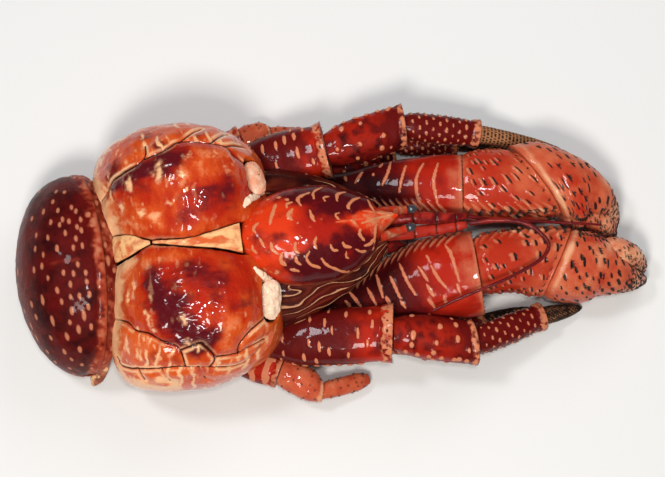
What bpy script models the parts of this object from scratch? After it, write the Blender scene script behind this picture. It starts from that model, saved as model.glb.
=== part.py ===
"""Coconut crab, life size, lying at rest with its legs folded forward and both claws stretched out.

The frame is the body's own: +X towards the head along the midline, +Y to the animal's left, +Z up.
The origin is on the floor under the groove between the head shield and the hind carapace.
Sizes below are in millimetres and become metres when a mesh is made.
"""

import math

import bmesh
import bpy
from mathutils import Matrix, Vector
from mathutils.bvhtree import BVHTree

MM = 0.001
GAP = 0.3
SIDES = {"left": 1, "right": -1}

# Hind carapace: two swollen gill covers that meet on the midline.
# A station is (x, inner wall, outer edge, crown height, height of the valley, base height).
DOME_STATIONS = (
    (-59.8, 25.0, 38.0, 30.0, 27.0, 22.0),
    (-58.6, 18.0, 43.0, 34.5, 31.0, 17.5),
    (-56.0, 10.0, 48.0, 40.0, 35.0, 14.0),
    (-52.0, 2.5, 51.2, 46.5, 41.0, 13.0),
    (-47.0, 0.15, 53.2, 52.5, 47.5, 13.0),
    (-35.0, 0.15, 55.6, 61.0, 56.0, 13.0),
    (-22.0, 0.15, 56.0, 64.0, 58.6, 13.0),
    (-9.0, 0.15, 53.2, 63.0, 57.4, 13.0),
    (0.0, 0.15, 49.4, 59.0, 54.0, 13.0),
    (5.5, 0.15, 45.6, 53.0, 50.0, 14.0),
    (9.5, 4.0, 41.6, 47.0, 45.0, 16.0),
    (12.2, 12.0, 37.0, 39.5, 38.0, 20.0),
    (13.0, 18.0, 33.0, 35.0, 34.0, 25.0),
)
# The seam between the covers bends to the animal's left behind the shield, as (x, y).
MIDLINE = (
    (-59.8, 0.0), (-56.0, 3.4), (-51.0, 4.1), (-45.0, 3.9), (-35.6, 2.8), (-16.0, 0.3), (0.0, 0.3),
    (14.0, 0.0),
)
DOME_CROWN_SHARE = 0.42
DOME_WIDEST_SHARE = 0.31

# Head shield: an egg-shaped plate that ends in the rostrum.
SHIELD_LENGTH = 58.0
SHIELD_HALF_WIDTH = 20.6
SHIELD_REAR_Z = 55.5
SHIELD_CROWN_Z = 57.5
SHIELD_FRONT_Z = 47.5
SHIELD_BASE_Z = 38.5
ROSTRUM_TIP = Vector((66.0, 3.0, 47.0))

# Under body: the flat breast plate that the legs hang from, and the flanks above it.
BREAST_TOP_Z = 12.5
FLANK_HALF_WIDTH = 35.0

# Abdomen: tergites fan out from a line between its two side corners.
ABDOMEN_PIVOT = Vector((-69.5, 0.0, 14.0))
ABDOMEN_HALF_WIDTH = 43.0
ABDOMEN_INNER_SHARE = 0.5

RING_SIDES = 14

COLOURS = {
    "carapace": (0.62, 0.16, 0.05),
    "shield": (0.60, 0.05, 0.02),
    "plate": (0.80, 0.45, 0.25),
    "abdomen": (0.22, 0.03, 0.02),
    "belly": (0.55, 0.28, 0.20),
    "flank": (0.20, 0.03, 0.02),
    "leg": (0.36, 0.04, 0.03),
    "claw": (0.70, 0.20, 0.09),
    "toe": (0.45, 0.28, 0.16),
    "eye": (0.02, 0.02, 0.02),
    "feeler": (0.30, 0.02, 0.02),
}
ROUGHNESS = {"eye": 0.1, "belly": 0.6, "toe": 0.55}


def clear_scene():
    """Removes whatever the scene holds."""
    for old in list(bpy.data.objects):
        bpy.data.objects.remove(old)


def shell_material(name):
    """The Principled material of one kind of shell."""
    made = bpy.data.materials.get(name)
    if made:
        return made
    made = bpy.data.materials.new(name)
    made.use_nodes = True
    shader = made.node_tree.nodes["Principled BSDF"]
    shader.inputs["Base Color"].default_value = (*COLOURS[name], 1.0)
    shader.inputs["Roughness"].default_value = ROUGHNESS.get(name, 0.3)
    shader.inputs["Metallic"].default_value = 0.0
    return made


def new_object(name, mesh, finish, collection):
    """Links a mesh as a named, smooth-shaded object with one finish."""
    obj = bpy.data.objects.new(name, mesh)
    mesh.materials.append(shell_material(finish))
    mesh.shade_smooth()
    mesh.set_sharp_from_angle(angle=math.radians(40))
    collection.objects.link(obj)
    return obj


def loft(name, rings, finish, collection, folded=False):
    """A closed skin over rings of points in millimetres.

    Each end is closed by a fan of faces or, for a folded ring such as a crescent, by a strip between
    its two halves. No point goes below the floor, so whatever lies on it gets a flat there.
    """
    count = len(rings[0])
    shape = bmesh.new()
    rows = []
    for ring in rings:
        rows.append([shape.verts.new((p.x * MM, p.y * MM, max(p.z, 0.0) * MM)) for p in ring])
    for row, following in zip(rows, rows[1:]):
        for k in range(count):
            near = (k + 1) % count
            shape.faces.new((row[k], row[near], following[near], following[k]))
    for row in (rows[0], rows[-1]):
        if folded:
            half = list(zip(row[:count // 2], row[::-1]))
            for (a, b), (c, d) in zip(half, half[1:]):
                shape.faces.new((a, c, d, b))
            continue
        centre = shape.verts.new(sum((v.co for v in row), Vector()) / count)
        for k in range(count):
            shape.faces.new((row[k], row[(k + 1) % count], centre))
    bmesh.ops.recalc_face_normals(shape, faces=shape.faces)
    mesh = bpy.data.meshes.new(name)
    shape.to_mesh(mesh)
    shape.free()
    return new_object(name, mesh, finish, collection)


def blended(stations, at):
    """The values of the stations, each (place, value, ...), blended in a straight line at a place."""
    if at <= stations[0][0]:
        return stations[0][1:]
    for low, high in zip(stations, stations[1:]):
        if at <= high[0]:
            share = (at - low[0]) / (high[0] - low[0])
            return tuple(a + (b - a) * share for a, b in zip(low[1:], high[1:]))
    return stations[-1][1:]


def oval(half_width, half_height, power, sides=RING_SIDES):
    """Points of a superellipse as pairs: across, up."""
    pairs = []
    for k in range(sides):
        angle = 2 * math.pi * (k + 0.5) / sides
        c, s = math.cos(angle), math.sin(angle)
        pairs.append((
            half_width * math.copysign(abs(c) ** (2 / power), c),
            half_height * math.copysign(abs(s) ** (2 / power), s),
        ))
    return pairs


def segment_rings(start, end, start_normal, end_normal, stations, power=2.3, sides=RING_SIDES):
    """Rings of one limb segment between two joints.

    A station is (share of the length, half width, half height, shift across, shift up). The end rings
    lie in the joint planes, half a gap short of the joint, so that two segments meet face to face.
    """
    along = (end - start).normalized()
    length = (end - start).length
    across = Vector((0, 0, 1)).cross(along).normalized()
    up = along.cross(across)
    half_gap = GAP / 2
    first_plane = start + start_normal * half_gap
    last_plane = end - end_normal * half_gap
    rings = []
    for share, half_width, half_height, shift_across, shift_up in stations:
        centre = start + along * (length * share) + across * shift_across + up * shift_up
        reach = 2.2 * max(half_width, half_height)
        from_start = max(0.0, 1 - share * length / reach)
        from_end = max(0.0, 1 - (1 - share) * length / reach)
        ring = []
        for a, b in oval(half_width, half_height, power, sides):
            point = centre + across * a + up * b
            for weight, plane, normal, middle in (
                (from_start, first_plane, start_normal, start),
                (from_end, last_plane, end_normal, end),
            ):
                lean = (plane - point).dot(normal) / along.dot(normal)
                straight = (middle - point).dot(along)
                if weight >= 1.0:
                    point = point + along * lean
                elif weight > 0.0:
                    point = point + along * ((lean - straight) * weight)
            ring.append(point)
        rings.append(ring)
    return rings


def limb(prefix, joints, segments, collection, normals=None, sides=RING_SIDES):
    """One object for each segment of a limb, from joint to joint.

    A segment is (name, finish, stations). A joint's plane halves the bend between its two segments,
    unless normals gives the joint another one.
    """
    points = [Vector(p) for p in joints]
    ways = [(b - a).normalized() for a, b in zip(points, points[1:])]
    planes = [ways[0]]
    planes += [(a + b).normalized() for a, b in zip(ways, ways[1:])]
    planes.append(ways[-1])
    for k, normal in (normals or {}).items():
        planes[k] = Vector(normal).normalized()
    made = []
    for k, (name, finish, stations) in enumerate(segments):
        full = [tuple(s) + (0.0,) * (5 - len(s)) for s in stations]
        rings = segment_rings(points[k], points[k + 1], planes[k], planes[k + 1], full, sides=sides)
        part = loft(f"{prefix}_{name}", rings, finish, collection)
        part["start"] = points[k]
        part["end"] = points[k + 1]
        made.append(part)
    return made


def tube(name, points, radii, finish, collection, sides=8, flat=1.0):
    """A bent spindle through points in millimetres, with a radius at each. flat thins it upward."""
    path = [Vector(p) for p in points]
    rings = []
    for k, centre in enumerate(path):
        along = (path[min(k + 1, len(path) - 1)] - path[max(k - 1, 0)]).normalized()
        across = Vector((0, 0, 1)).cross(along).normalized()
        up = along.cross(across)
        rings.append([
            centre + across * a + up * b for a, b in oval(radii[k], radii[k] * flat, 2.0, sides)])
    return loft(name, rings, finish, collection)


def rod(name, points, radii, collection, resolution=0):
    """A curve with a round bevel through points in millimetres, made a closed mesh object."""
    data = bpy.data.curves.new(name, "CURVE")
    data.dimensions = "3D"
    data.bevel_depth = MM
    data.bevel_resolution = resolution
    data.use_fill_caps = True
    spline = data.splines.new("POLY")
    spline.points.add(len(points) - 1)
    for point, place, radius in zip(spline.points, points, radii):
        point.co = (place[0] * MM, place[1] * MM, place[2] * MM, 1.0)
        point.radius = radius
    curve = bpy.data.objects.new(name, data)
    collection.objects.link(curve)
    graph = bpy.context.evaluated_depsgraph_get()
    mesh = bpy.data.meshes.new_from_object(curve.evaluated_get(graph))
    bpy.data.objects.remove(curve)
    shape = bmesh.new()
    shape.from_mesh(mesh)
    bmesh.ops.remove_doubles(shape, verts=shape.verts, dist=0.001 * MM)
    bmesh.ops.recalc_face_normals(shape, faces=shape.faces)
    shape.to_mesh(mesh)
    shape.free()
    mesh.materials.clear()
    mesh.name = name
    obj = bpy.data.objects.new(name, mesh)
    collection.objects.link(obj)
    return obj


def smooth_path(points, steps):
    """A Catmull-Rom curve through points, with this many steps between two of them."""
    path = [Vector(p) for p in points]
    path = [path[0] * 2 - path[1], *path, path[-1] * 2 - path[-2]]
    curve = []
    for a, b, c, d in zip(path, path[1:], path[2:], path[3:]):
        for step in range(steps):
            t = step / steps
            curve.append(0.5 * (
                b * 2 + (c - a) * t + (a * 2 - b * 5 + c * 4 - d) * t ** 2
                + (b * 3 - a - c * 3 + d) * t ** 3))
    curve.append(path[-2])
    return curve


def face_outward(shape):
    """Turns a closed surface's faces so that all of them look out."""
    bmesh.ops.recalc_face_normals(shape, faces=shape.faces)
    if shape.calc_volume(signed=True) < 0:
        bmesh.ops.reverse_faces(shape, faces=shape.faces)


def grown_copy(obj, distance):
    """A hidden copy of a mesh object whose surface lies this far outside it, in millimetres."""
    shape = bmesh.new()
    shape.from_mesh(obj.data)
    face_outward(shape)
    shape.normal_update()
    moves = [v.normal * (distance * MM * min(v.calc_shell_factor(), 2.0)) for v in shape.verts]
    for vert, move in zip(shape.verts, moves):
        vert.co += move
    mesh = bpy.data.meshes.new(obj.name + "_grown")
    shape.to_mesh(mesh)
    shape.free()
    copy = bpy.data.objects.new(obj.name + "_grown", mesh)
    copy.hide_render = True
    copy.display_type = "WIRE"
    bpy.context.scene.collection.objects.link(copy)
    return copy


def keep_largest_surface(mesh):
    """Drops every closed surface of a mesh but the one with the most volume."""
    shape = bmesh.new()
    shape.from_mesh(mesh)
    bmesh.ops.remove_doubles(shape, verts=shape.verts, dist=0.003 * MM)
    bmesh.ops.triangulate(shape, faces=shape.faces)
    loose = [edge for edge in shape.edges if not edge.link_faces]
    bmesh.ops.delete(shape, geom=loose, context="EDGES")
    unseen = set(shape.verts)
    groups = []
    while unseen:
        group = set()
        front = [unseen.pop()]
        while front:
            vert = front.pop()
            group.add(vert)
            for edge in vert.link_edges:
                other = edge.other_vert(vert)
                if other in unseen:
                    unseen.discard(other)
                    front.append(other)
        groups.append(group)

    def volume(group):
        faces = {face for vert in group for face in vert.link_faces}
        return abs(sum(f.verts[0].co.dot(f.verts[1].co.cross(f.verts[2].co)) for f in faces))

    groups.sort(key=volume, reverse=True)
    for group in groups[1:]:
        bmesh.ops.delete(shape, geom=list(group), context="VERTS")
    face_outward(shape)
    shape.to_mesh(mesh)
    shape.free()


def apply_boolean(obj, other, operation, solver="EXACT"):
    """Joins to obj, or cuts from it, the object or collection other."""
    modifier = obj.modifiers.new(operation.lower(), "BOOLEAN")
    modifier.operation = operation
    modifier.solver = solver
    if isinstance(other, bpy.types.Collection):
        modifier.operand_type = "COLLECTION"
        modifier.collection = other
    else:
        modifier.object = other
    graph = bpy.context.evaluated_depsgraph_get()
    result = bpy.data.meshes.new_from_object(obj.evaluated_get(graph))
    obj.modifiers.remove(modifier)
    old = obj.data
    obj.data = result
    bpy.data.meshes.remove(old)
    keep_largest_surface(obj.data)


def carve(target, *others):
    """Cuts target clear of each other object, with the gap that touching meshes keep."""
    for other in others:
        cutter = grown_copy(other, GAP)
        apply_boolean(target, cutter, "DIFFERENCE")
        bpy.data.objects.remove(cutter)


def surface_of(obj):
    """A search tree over an object's surface, in millimetres."""
    obj.data.calc_loop_triangles()
    return BVHTree.FromPolygons(
        [v.co / MM for v in obj.data.vertices], [t.vertices[:] for t in obj.data.loop_triangles])


def hidden_collection(name):
    """A collection for shapes that only cut or are joined to others."""
    made = bpy.data.collections.new(name)
    bpy.context.scene.collection.children.link(made)
    return made


def drop_collection(collection):
    """Removes a collection with its objects."""
    for obj in list(collection.objects):
        bpy.data.objects.remove(obj)
    bpy.data.collections.remove(collection)


def score(target, side, seams, depth=0.8):
    """Cuts seams into a shell from above. A seam is a line of (x, y), its y counted outward."""
    surface = surface_of(target)
    cutters = hidden_collection("cutters")
    for seam in seams:
        line = []
        for x, y in seam:
            hit = surface.ray_cast(Vector((x, side * y, 100)), Vector((0, 0, -1)))[0]
            if hit:
                line.append(hit + Vector((0, 0, 0.15)))
        groove = rod("seam", line, [depth] * len(line), cutters)
        groove.hide_render = True
        groove.display_type = "WIRE"
    apply_boolean(target, cutters, "DIFFERENCE")
    drop_collection(cutters)


def knob(target_surface, near, radius, height, collection, lean=(0, 0, 0), sides=5):
    """A blunt cone that stands on a surface at the place nearest to a point."""
    place, normal, _, _ = target_surface.find_nearest(Vector(near))
    way = (normal + Vector(lean)).normalized()
    sunk = min(0.6, radius * 0.5)
    shape = bmesh.new()
    turn = Vector((0, 0, 1)).rotation_difference(way).to_matrix().to_4x4()
    middle = place + way * (height / 2 - sunk)
    bmesh.ops.create_cone(
        shape, cap_ends=True, segments=sides, radius1=radius * MM, radius2=radius * 0.3 * MM,
        depth=(height + sunk) * MM, matrix=Matrix.Translation(middle * MM) @ turn)
    mesh = bpy.data.meshes.new("knob")
    shape.to_mesh(mesh)
    shape.free()
    obj = bpy.data.objects.new("knob", mesh)
    obj.hide_render = True
    obj.display_type = "WIRE"
    collection.objects.link(obj)


def studded(target, spots, lean=(0, 0, 0), sides=5):
    """Joins blunt cones to a shell. A spot is (point near the surface, radius, height)."""
    surface = surface_of(target)
    knobs = hidden_collection("knobs")
    for near, radius, height in spots:
        knob(surface, near, radius, height, knobs, lean, sides)
    apply_boolean(target, knobs, "UNION")
    drop_collection(knobs)


def line_of_spots(start, end, count, radius, height, bow=(0, 0, 0)):
    """Evenly placed spots from start to end, bowed out by a vector at the middle."""
    start, end, bow = Vector(start), Vector(end), Vector(bow)
    spots = []
    for k in range(count):
        share = k / (count - 1)
        place = start + (end - start) * share + bow * math.sin(math.pi * share)
        spots.append((place, radius * (0.85 + 0.15 * (k % 2)), height))
    return spots


def midline(x):
    """How far to the left the seam between the gill covers lies."""
    return blended(MIDLINE, x)[0]


def dome_section(x, side):
    """One gill cover's section at x: up the inner wall, over the crown and down round its side."""
    inner, outer, crown, valley, base = blended(DOME_STATIONS, x)
    inner += side * midline(x)
    crown_y = inner + (outer - inner) * DOME_CROWN_SHARE
    widest = base + (crown - base) * DOME_WIDEST_SHARE
    pairs = [(inner, base), (inner, (base + valley) / 2), (inner, valley)]
    for k in range(1, 4):
        turn = math.radians(90 * k / 4)
        pairs.append((inner + (crown_y - inner) * k / 4, valley + (crown - valley) * math.sin(turn)))
    for k in range(7):
        turn = math.radians(90 * k / 6)
        pairs.append((
            crown_y + (outer - crown_y) * math.sin(turn) ** 0.92,
            widest + (crown - widest) * math.cos(turn) ** 0.86,
        ))
    for k in range(1, 4):
        turn = math.radians(90 * k / 3)
        pairs.append((
            outer * 0.66 + outer * 0.34 * math.cos(turn),
            widest - (widest - base) * math.sin(turn) ** 0.9,
        ))
    return [Vector((x, side * y, z)) for y, z in pairs]


def gill_cover(side_name, collection):
    """One swollen half of the hind carapace."""
    places = sorted({*[s[0] for s in DOME_STATIONS], -40.5, -28.5, -15.0, -4.0})
    rings = [dome_section(x, SIDES[side_name]) for x in places]
    return loft(f"gill_cover_{side_name}", rings, "carapace", collection)


def head_shield(collection):
    """The egg-shaped shield between the gill covers and the rostrum."""
    stations = (
        (0.0, 3.5, -3.5), (0.02, 8.0, -1.6), (0.06, 11.6, -0.6), (0.14, 15.6, 0.6), (0.26, 18.8, 1.4),
        (0.42, 20.6, 1.6), (0.60, 20.3, 0.6), (0.76, 17.4, -1.6), (0.88, 13.6, -3.6), (0.95, 10.6, -5.0),
        (0.985, 6.0, -6.4), (1.04, 3.4, -7.4), (1.13, 0.8, -8.2),
    )
    rings = []
    for share, half_width, crown in stations:
        x = SHIELD_LENGTH * share
        lean = max(0.0, share - 0.8) / 0.33 * ROSTRUM_TIP.y
        top = SHIELD_REAR_Z + crown
        edge = SHIELD_BASE_Z + 2.2 + max(0.0, share - 0.9) * 12
        ring = []
        for k in range(9):
            angle = math.pi * k / 8
            y = half_width * math.cos(angle)
            z = edge + (top - edge) * math.sin(angle) ** 0.8
            ring.append(Vector((x, y + lean, z)))
        base = SHIELD_BASE_Z + max(0.0, share - 0.95) * 14
        for y in (-0.93 * half_width, 0.0, 0.93 * half_width):
            ring.append(Vector((x, y + lean, base)))
        rings.append(ring)
    return loft("head_shield", rings, "shield", collection)


def midline_plate(name, outline, thickness, collection):
    """A thin plate sunk in the valley between the gill covers. The outline is (x, half width, z)."""
    rings = []
    for x, half_width, z in outline:
        ring = []
        for y, drop in ((1, 0.6), (0.6, 0.0), (0, -0.2), (-0.6, 0.0), (-1, 0.6)):
            ring.append(Vector((x, y * half_width + midline(x), z - drop)))
        for y in (-0.8, 0.0, 0.8):
            ring.append(Vector((x, y * half_width + midline(x), z - thickness)))
        rings.append(ring)
    return loft(name, rings, "plate", collection)


def corner_plate(side_name, centre, half_length, half_width, lift, collection):
    """The pale warty plate at a gill cover's front corner, a flat bean on the slope."""
    x, y, z = centre
    side = SIDES[side_name]
    normal = Vector((0.50, side * 0.22, 0.84)).normalized()
    along = Vector((-0.12, side, -0.18)).normalized()
    along = (along - normal * along.dot(normal)).normalized()
    across = normal.cross(along)
    middle = Vector((x, y, z))
    rings = []
    for share, rise in ((0.72, -2.6), (0.98, -0.9), (1.0, 0.3), (0.86, 1.3), (0.5, 1.9)):
        ring = []
        for a, b in oval(half_length * share, half_width * share, 2.6, 12):
            ring.append(middle + along * a + across * b + normal * (rise + lift))
        rings.append(ring)
    return loft(f"corner_plate_{side_name}", rings, "plate", collection)


def flank(side_name, collection):
    """The swollen cheek under the shield's edge, from the legs' roots to the mouth."""
    side = SIDES[side_name]
    stations = (
        (-4.0, 33.0, 24.0), (6.0, 35.0, 24.0), (18.0, 33.5, 24.5), (28.0, 30.0, 26.0),
        (38.0, 25.5, 28.0), (48.0, 19.5, 29.0), (56.0, 13.5, 30.0), (60.0, 9.0, 31.0),
    )
    rings = []
    for x, outer, widest_z in stations:
        top = SHIELD_BASE_Z - GAP - 0.15
        base = BREAST_TOP_Z + GAP + 0.12 * max(0.0, x - 20)
        inner = GAP / 2
        pairs = [
            (inner, base), (inner, (base + top) / 2), (inner, top), (outer * 0.45, top),
            (outer * 0.64, top - 0.6), (outer * 0.84, top - 3.6), (outer * 0.95, widest_z + 5),
            (outer, widest_z), (outer * 0.93, (widest_z + base) / 2), (outer * 0.72, base),
        ]
        rings.append([Vector((x, side * y, z)) for y, z in pairs])
    return loft(f"flank_{side_name}", rings, "flank", collection)


def breast(collection):
    """The flat breast plate on the floor, whose flat the whole crab is placed by."""
    stations = (
        (-54.0, 20.0), (-46.0, 30.0), (-30.0, 35.0), (-10.0, 35.0), (4.0, 31.0),
        (16.0, 21.0), (30.0, 12.0), (44.0, 8.0), (54.0, 5.0),
    )
    rings = []
    for x, outer in stations:
        pairs = [
            (-outer * 0.8, 0.0), (-outer, 4.5), (-outer * 0.96, BREAST_TOP_Z), (0.0, BREAST_TOP_Z),
            (outer * 0.96, BREAST_TOP_Z), (outer, 4.5), (outer * 0.8, 0.0), (0.0, 0.0),
        ]
        rings.append([Vector((x, y, z)) for y, z in pairs])
    return loft("breast", rings, "belly", collection)


def tergite_radius(angle):
    """How far the abdomen's armour stands from the line between its side corners, at an angle."""
    return blended((
        (0, 15.0), (40, 20.0), (60, 35.0), (75, 36.0), (100, 35.5), (125, 32.5), (150, 29.5), (175, 27.5),
        (200, 25.0), (230, 20.0), (260, 15.0), (300, 14.5), (360, 15.0),
    ), angle)[0]


def abdomen_ring(angle, radius, half_width, inner_radius):
    """A crescent in the plane that leans at this angle, in degrees, about the abdomen's side corners."""
    way = Vector((math.cos(math.radians(angle)), 0.0, math.sin(math.radians(angle))))
    outer, inner = [], []
    for k in range(13):
        turn = math.radians(-82 + 164 * k / 12)
        reach = math.cos(turn) ** 0.85
        spread = math.sin(turn) * half_width
        outer.append(ABDOMEN_PIVOT + way * (radius * reach) + Vector((0, spread, 0)))
        inner.append(ABDOMEN_PIVOT + way * (inner_radius * reach) + Vector((0, spread, 0)))
    return outer + inner[::-1]


def tergite(name, first, last, inset, finish, collection, steps=6):
    """One armour plate of the abdomen, between two angles about its side corners."""
    half_gap = 0.5
    rings = []
    for k in range(steps + 1):
        angle = first + half_gap + (last - first - 2 * half_gap) * k / steps
        radius = tergite_radius(angle)
        rings.append(abdomen_ring(
            angle, radius - inset, ABDOMEN_HALF_WIDTH, radius * ABDOMEN_INNER_SHARE))
    return loft(name, rings, finish, collection, folded=True)


def abdomen_core(collection):
    """The soft body inside the tergites, seen from below between the breast and the tail."""
    rings = []
    for k in range(9):
        turn = math.radians(-70 + 140 * k / 8)
        reach = math.cos(turn) ** 0.85
        ring = []
        for step in range(18):
            angle = 20 * step
            share = 0.96 if angle < 50 or angle > 290 else ABDOMEN_INNER_SHARE
            radius = min(tergite_radius(angle), 22) * reach * share - 1.2
            ring.append(ABDOMEN_PIVOT + Vector((
                radius * math.cos(math.radians(angle)),
                math.sin(turn) * ABDOMEN_HALF_WIDTH,
                radius * math.sin(math.radians(angle)),
            )))
        rings.append(ring)
    return loft("abdomen_core", rings, "belly", collection)


def side_tab(side_name, collection):
    """The narrow plate that hangs in front of the abdomen's rim at each side corner."""
    side = SIDES[side_name]
    path = [
        (-60.5, side * 29.0, 19.0), (-63.0, side * 33.0, 15.5), (-66.5, side * 39.0, 10.5),
        (-69.5, side * 43.5, 6.5), (-71.5, side * 45.5, 4.2),
    ]
    radii = (1.4, 2.8, 3.6, 2.8, 1.0)
    return tube(f"abdomen_tab_{side_name}", path, radii, "abdomen", collection, sides=10, flat=0.7)


MERUS = (
    (0.0, 5.5, 5.0), (0.14, 8.6, 7.0), (0.35, 11.2, 8.4), (0.68, 12.0, 8.8), (0.88, 11.6, 8.4),
    (1.0, 12.2, 8.6),
)
CARPUS = ((0.0, 6.6, 6.2), (0.14, 8.2, 7.2), (0.45, 9.4, 8.0), (0.82, 9.2, 7.4), (1.0, 9.0, 7.0))
PROPODUS = ((0.0, 4.6, 4.6), (0.16, 6.0, 5.6), (0.5, 6.2, 5.5), (0.84, 5.6, 5.0), (1.0, 6.0, 5.2))
TOE = ((0.0, 4.0, 3.8), (0.25, 3.9, 3.6), (0.6, 3.2, 3.0), (0.88, 1.8, 1.8), (1.0, 0.5, 0.5))


def resized(stations, width, height):
    """The stations with their half widths and half heights multiplied."""
    return tuple((s[0], s[1] * width, s[2] * height, *s[3:]) for s in stations)


def walking_leg(prefix, joints, size, collection, sides=RING_SIDES):
    """A walking leg of four segments. The size is two factors, for its width and its height."""
    segments = (
        ("merus", "leg", resized(MERUS, *size)),
        ("carpus", "leg", resized(CARPUS, *size)),
        ("propodus", "leg", resized(PROPODUS, *size)),
        ("toe", "toe", resized(TOE, *size)),
    )
    return limb(prefix, joints, segments, collection, sides=sides)


def small_leg(prefix, joints, collection):
    """The fourth leg: small, thick in the middle and blunt at its tip."""
    segments = (
        ("merus", "leg", ((0.0, 4.6, 4.0), (0.3, 6.0, 5.2), (0.8, 7.6, 6.2), (1.0, 7.4, 6.0))),
        ("carpus", "claw", ((0.0, 6.0, 5.2), (0.25, 6.8, 5.8), (0.7, 6.6, 5.6), (1.0, 4.4, 4.0))),
        ("pincer", "claw", ((0.0, 3.4, 3.2), (0.3, 3.9, 3.4), (0.75, 3.8, 3.2), (1.0, 2.2, 2.0))),
    )
    return limb(prefix, joints, segments, collection, sides=10)


def claw_arm(prefix, joints, wrist_normal, merus, carpus, collection):
    """The claw's long upper arm and its wrist piece."""
    segments = (("merus", "leg", merus), ("carpus", "claw", carpus))
    return limb(prefix, joints, segments, collection, normals={2: wrist_normal}, sides=16)


def claw_hand(prefix, wrist_normal, stations, collection):
    """The hand with its fixed finger, which starts on the wrist's plane.

    A station is (x, y, z, half width, half height).
    """
    path = [Vector(s[:3]) for s in stations]
    normal = Vector(wrist_normal).normalized()
    plane = path[0] + normal * (GAP / 2)
    rings = []
    for k, (x, y, z, half_width, half_height) in enumerate(stations):
        along = (path[min(k + 1, len(path) - 1)] - path[max(k - 1, 0)]).normalized()
        across = Vector((0, 0, 1)).cross(along).normalized()
        up = along.cross(across)
        weight = max(0.0, 1 - (path[k] - path[0]).length / 26)
        ring = []
        for a, b in oval(half_width, half_height, 2.3, 16):
            point = path[k] + across * a + up * b
            lean = (plane - point).dot(normal) / along.dot(normal)
            straight = (path[0] - point).dot(along)
            ring.append(point + along * ((lean - straight) * weight))
        rings.append(ring)
    return loft(f"{prefix}_hand", rings, "claw", collection)


def finger(name, stations, finish, collection):
    """A bent finger. A station is (x, y, z, half width, half height)."""
    path = [Vector(s[:3]) for s in stations]
    rings = []
    for k, (x, y, z, half_width, half_height) in enumerate(stations):
        along = (path[min(k + 1, len(path) - 1)] - path[max(k - 1, 0)]).normalized()
        across = Vector((0, 0, 1)).cross(along).normalized()
        up = along.cross(across)
        pairs = oval(half_width, half_height, 2.2, 12)
        rings.append([Vector((x, y, z)) + across * a + up * b for a, b in pairs])
    return loft(name, rings, finish, collection)


def build_body(collection):
    """The carapace, its plates, the flanks, the breast and the abdomen, in the order they are cut."""
    shield = head_shield(collection)
    heart = midline_plate("heart_plate", (
        (-35.4, 0.7, 57.0), (-30.0, 1.1, 58.2), (-23.0, 1.7, 59.4), (-16.0, 2.5, 59.9),
        (-8.0, 4.2, 58.8), (-3.0, 5.6, 57.0), (0.5, 6.6, 55.2),
    ), 4.0, collection)
    hind = midline_plate("hind_plate", (
        (-53.9, 5.0, 41.2), (-52.4, 5.8, 43.4), (-49.6, 5.4, 46.6), (-45.0, 4.4, 51.0),
        (-40.5, 2.6, 54.4), (-36.4, 0.9, 56.6),
    ), 4.0, collection)
    carve(heart, shield)
    corners = {
        "left": corner_plate("left", (8.6, 26.0, 46.0), 7.6, 4.8, 0.0, collection),
        "right": corner_plate("right", (9.0, -25.2, 46.0), 8.4, 4.9, 0.0, collection),
    }
    carve(shield, *corners.values())
    domes = {}
    for name in SIDES:
        domes[name] = gill_cover(name, collection)
        carve(domes[name], shield, heart, hind, corners[name])
        score(domes[name], SIDES[name], SEAMS_LEFT if name == "left" else SEAMS_RIGHT)
    belly = breast(collection)
    carve(belly, *domes.values())
    flanks = {}
    for name in SIDES:
        flanks[name] = flank(name, collection)
        carve(flanks[name], domes[name], shield, corners[name])
    return shield, hind, domes, belly, flanks


SEAMS_LEFT = (
    (
        (-56.5, 26.0), (-52.4, 29.5), (-48.7, 32.0), (-43.0, 33.8), (-37.2, 36.0), (-34.4, 39.5),
        (-34.3, 44.0),
    ),
    (
        (-34.8, 37.4), (-28.3, 39.1), (-23.6, 40.9), (-19.5, 43.2), (-8.9, 41.6), (-0.7, 39.4),
        (2.7, 35.3), (6.8, 31.0),
    ),
    ((-20.0, 42.6), (-15.4, 46.2), (-10.5, 49.4)),
    ((-7.3, 41.0), (-3.2, 44.4), (0.2, 47.4)),
    ((-1.6, 39.4), (2.4, 40.4), (6.6, 40.8)),
)
SEAMS_RIGHT = (
    (
        (-56.4, 24.0), (-50.5, 27.4), (-47.6, 31.4), (-42.5, 33.8), (-37.4, 37.6), (-30.6, 41.6),
        (-29.0, 46.0), (-28.7, 49.6),
    ),
    (
        (-57.3, 39.0), (-54.8, 43.6), (-48.8, 46.3), (-38.7, 48.4), (-29.2, 49.4), (-18.0, 50.9),
        (-7.5, 50.4), (-0.5, 47.6), (5.0, 42.6),
    ),
    ((-29.6, 42.9), (-21.5, 41.3), (-19.5, 42.7), (-16.0, 47.4), (-18.6, 51.0)),
    ((-16.2, 47.2), (-7.3, 46.9), (-2.7, 45.2), (5.2, 41.2)),
    ((-6.3, 47.2), (-5.1, 43.4), (0.5, 38.0), (5.6, 33.6), (8.6, 30.0)),
    ((-49.0, 46.0), (-46.6, 50.6)),
    ((-38.8, 48.2), (-36.0, 53.4)),
    ((-23.4, 50.0), (-21.6, 54.4)),
)


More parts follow.
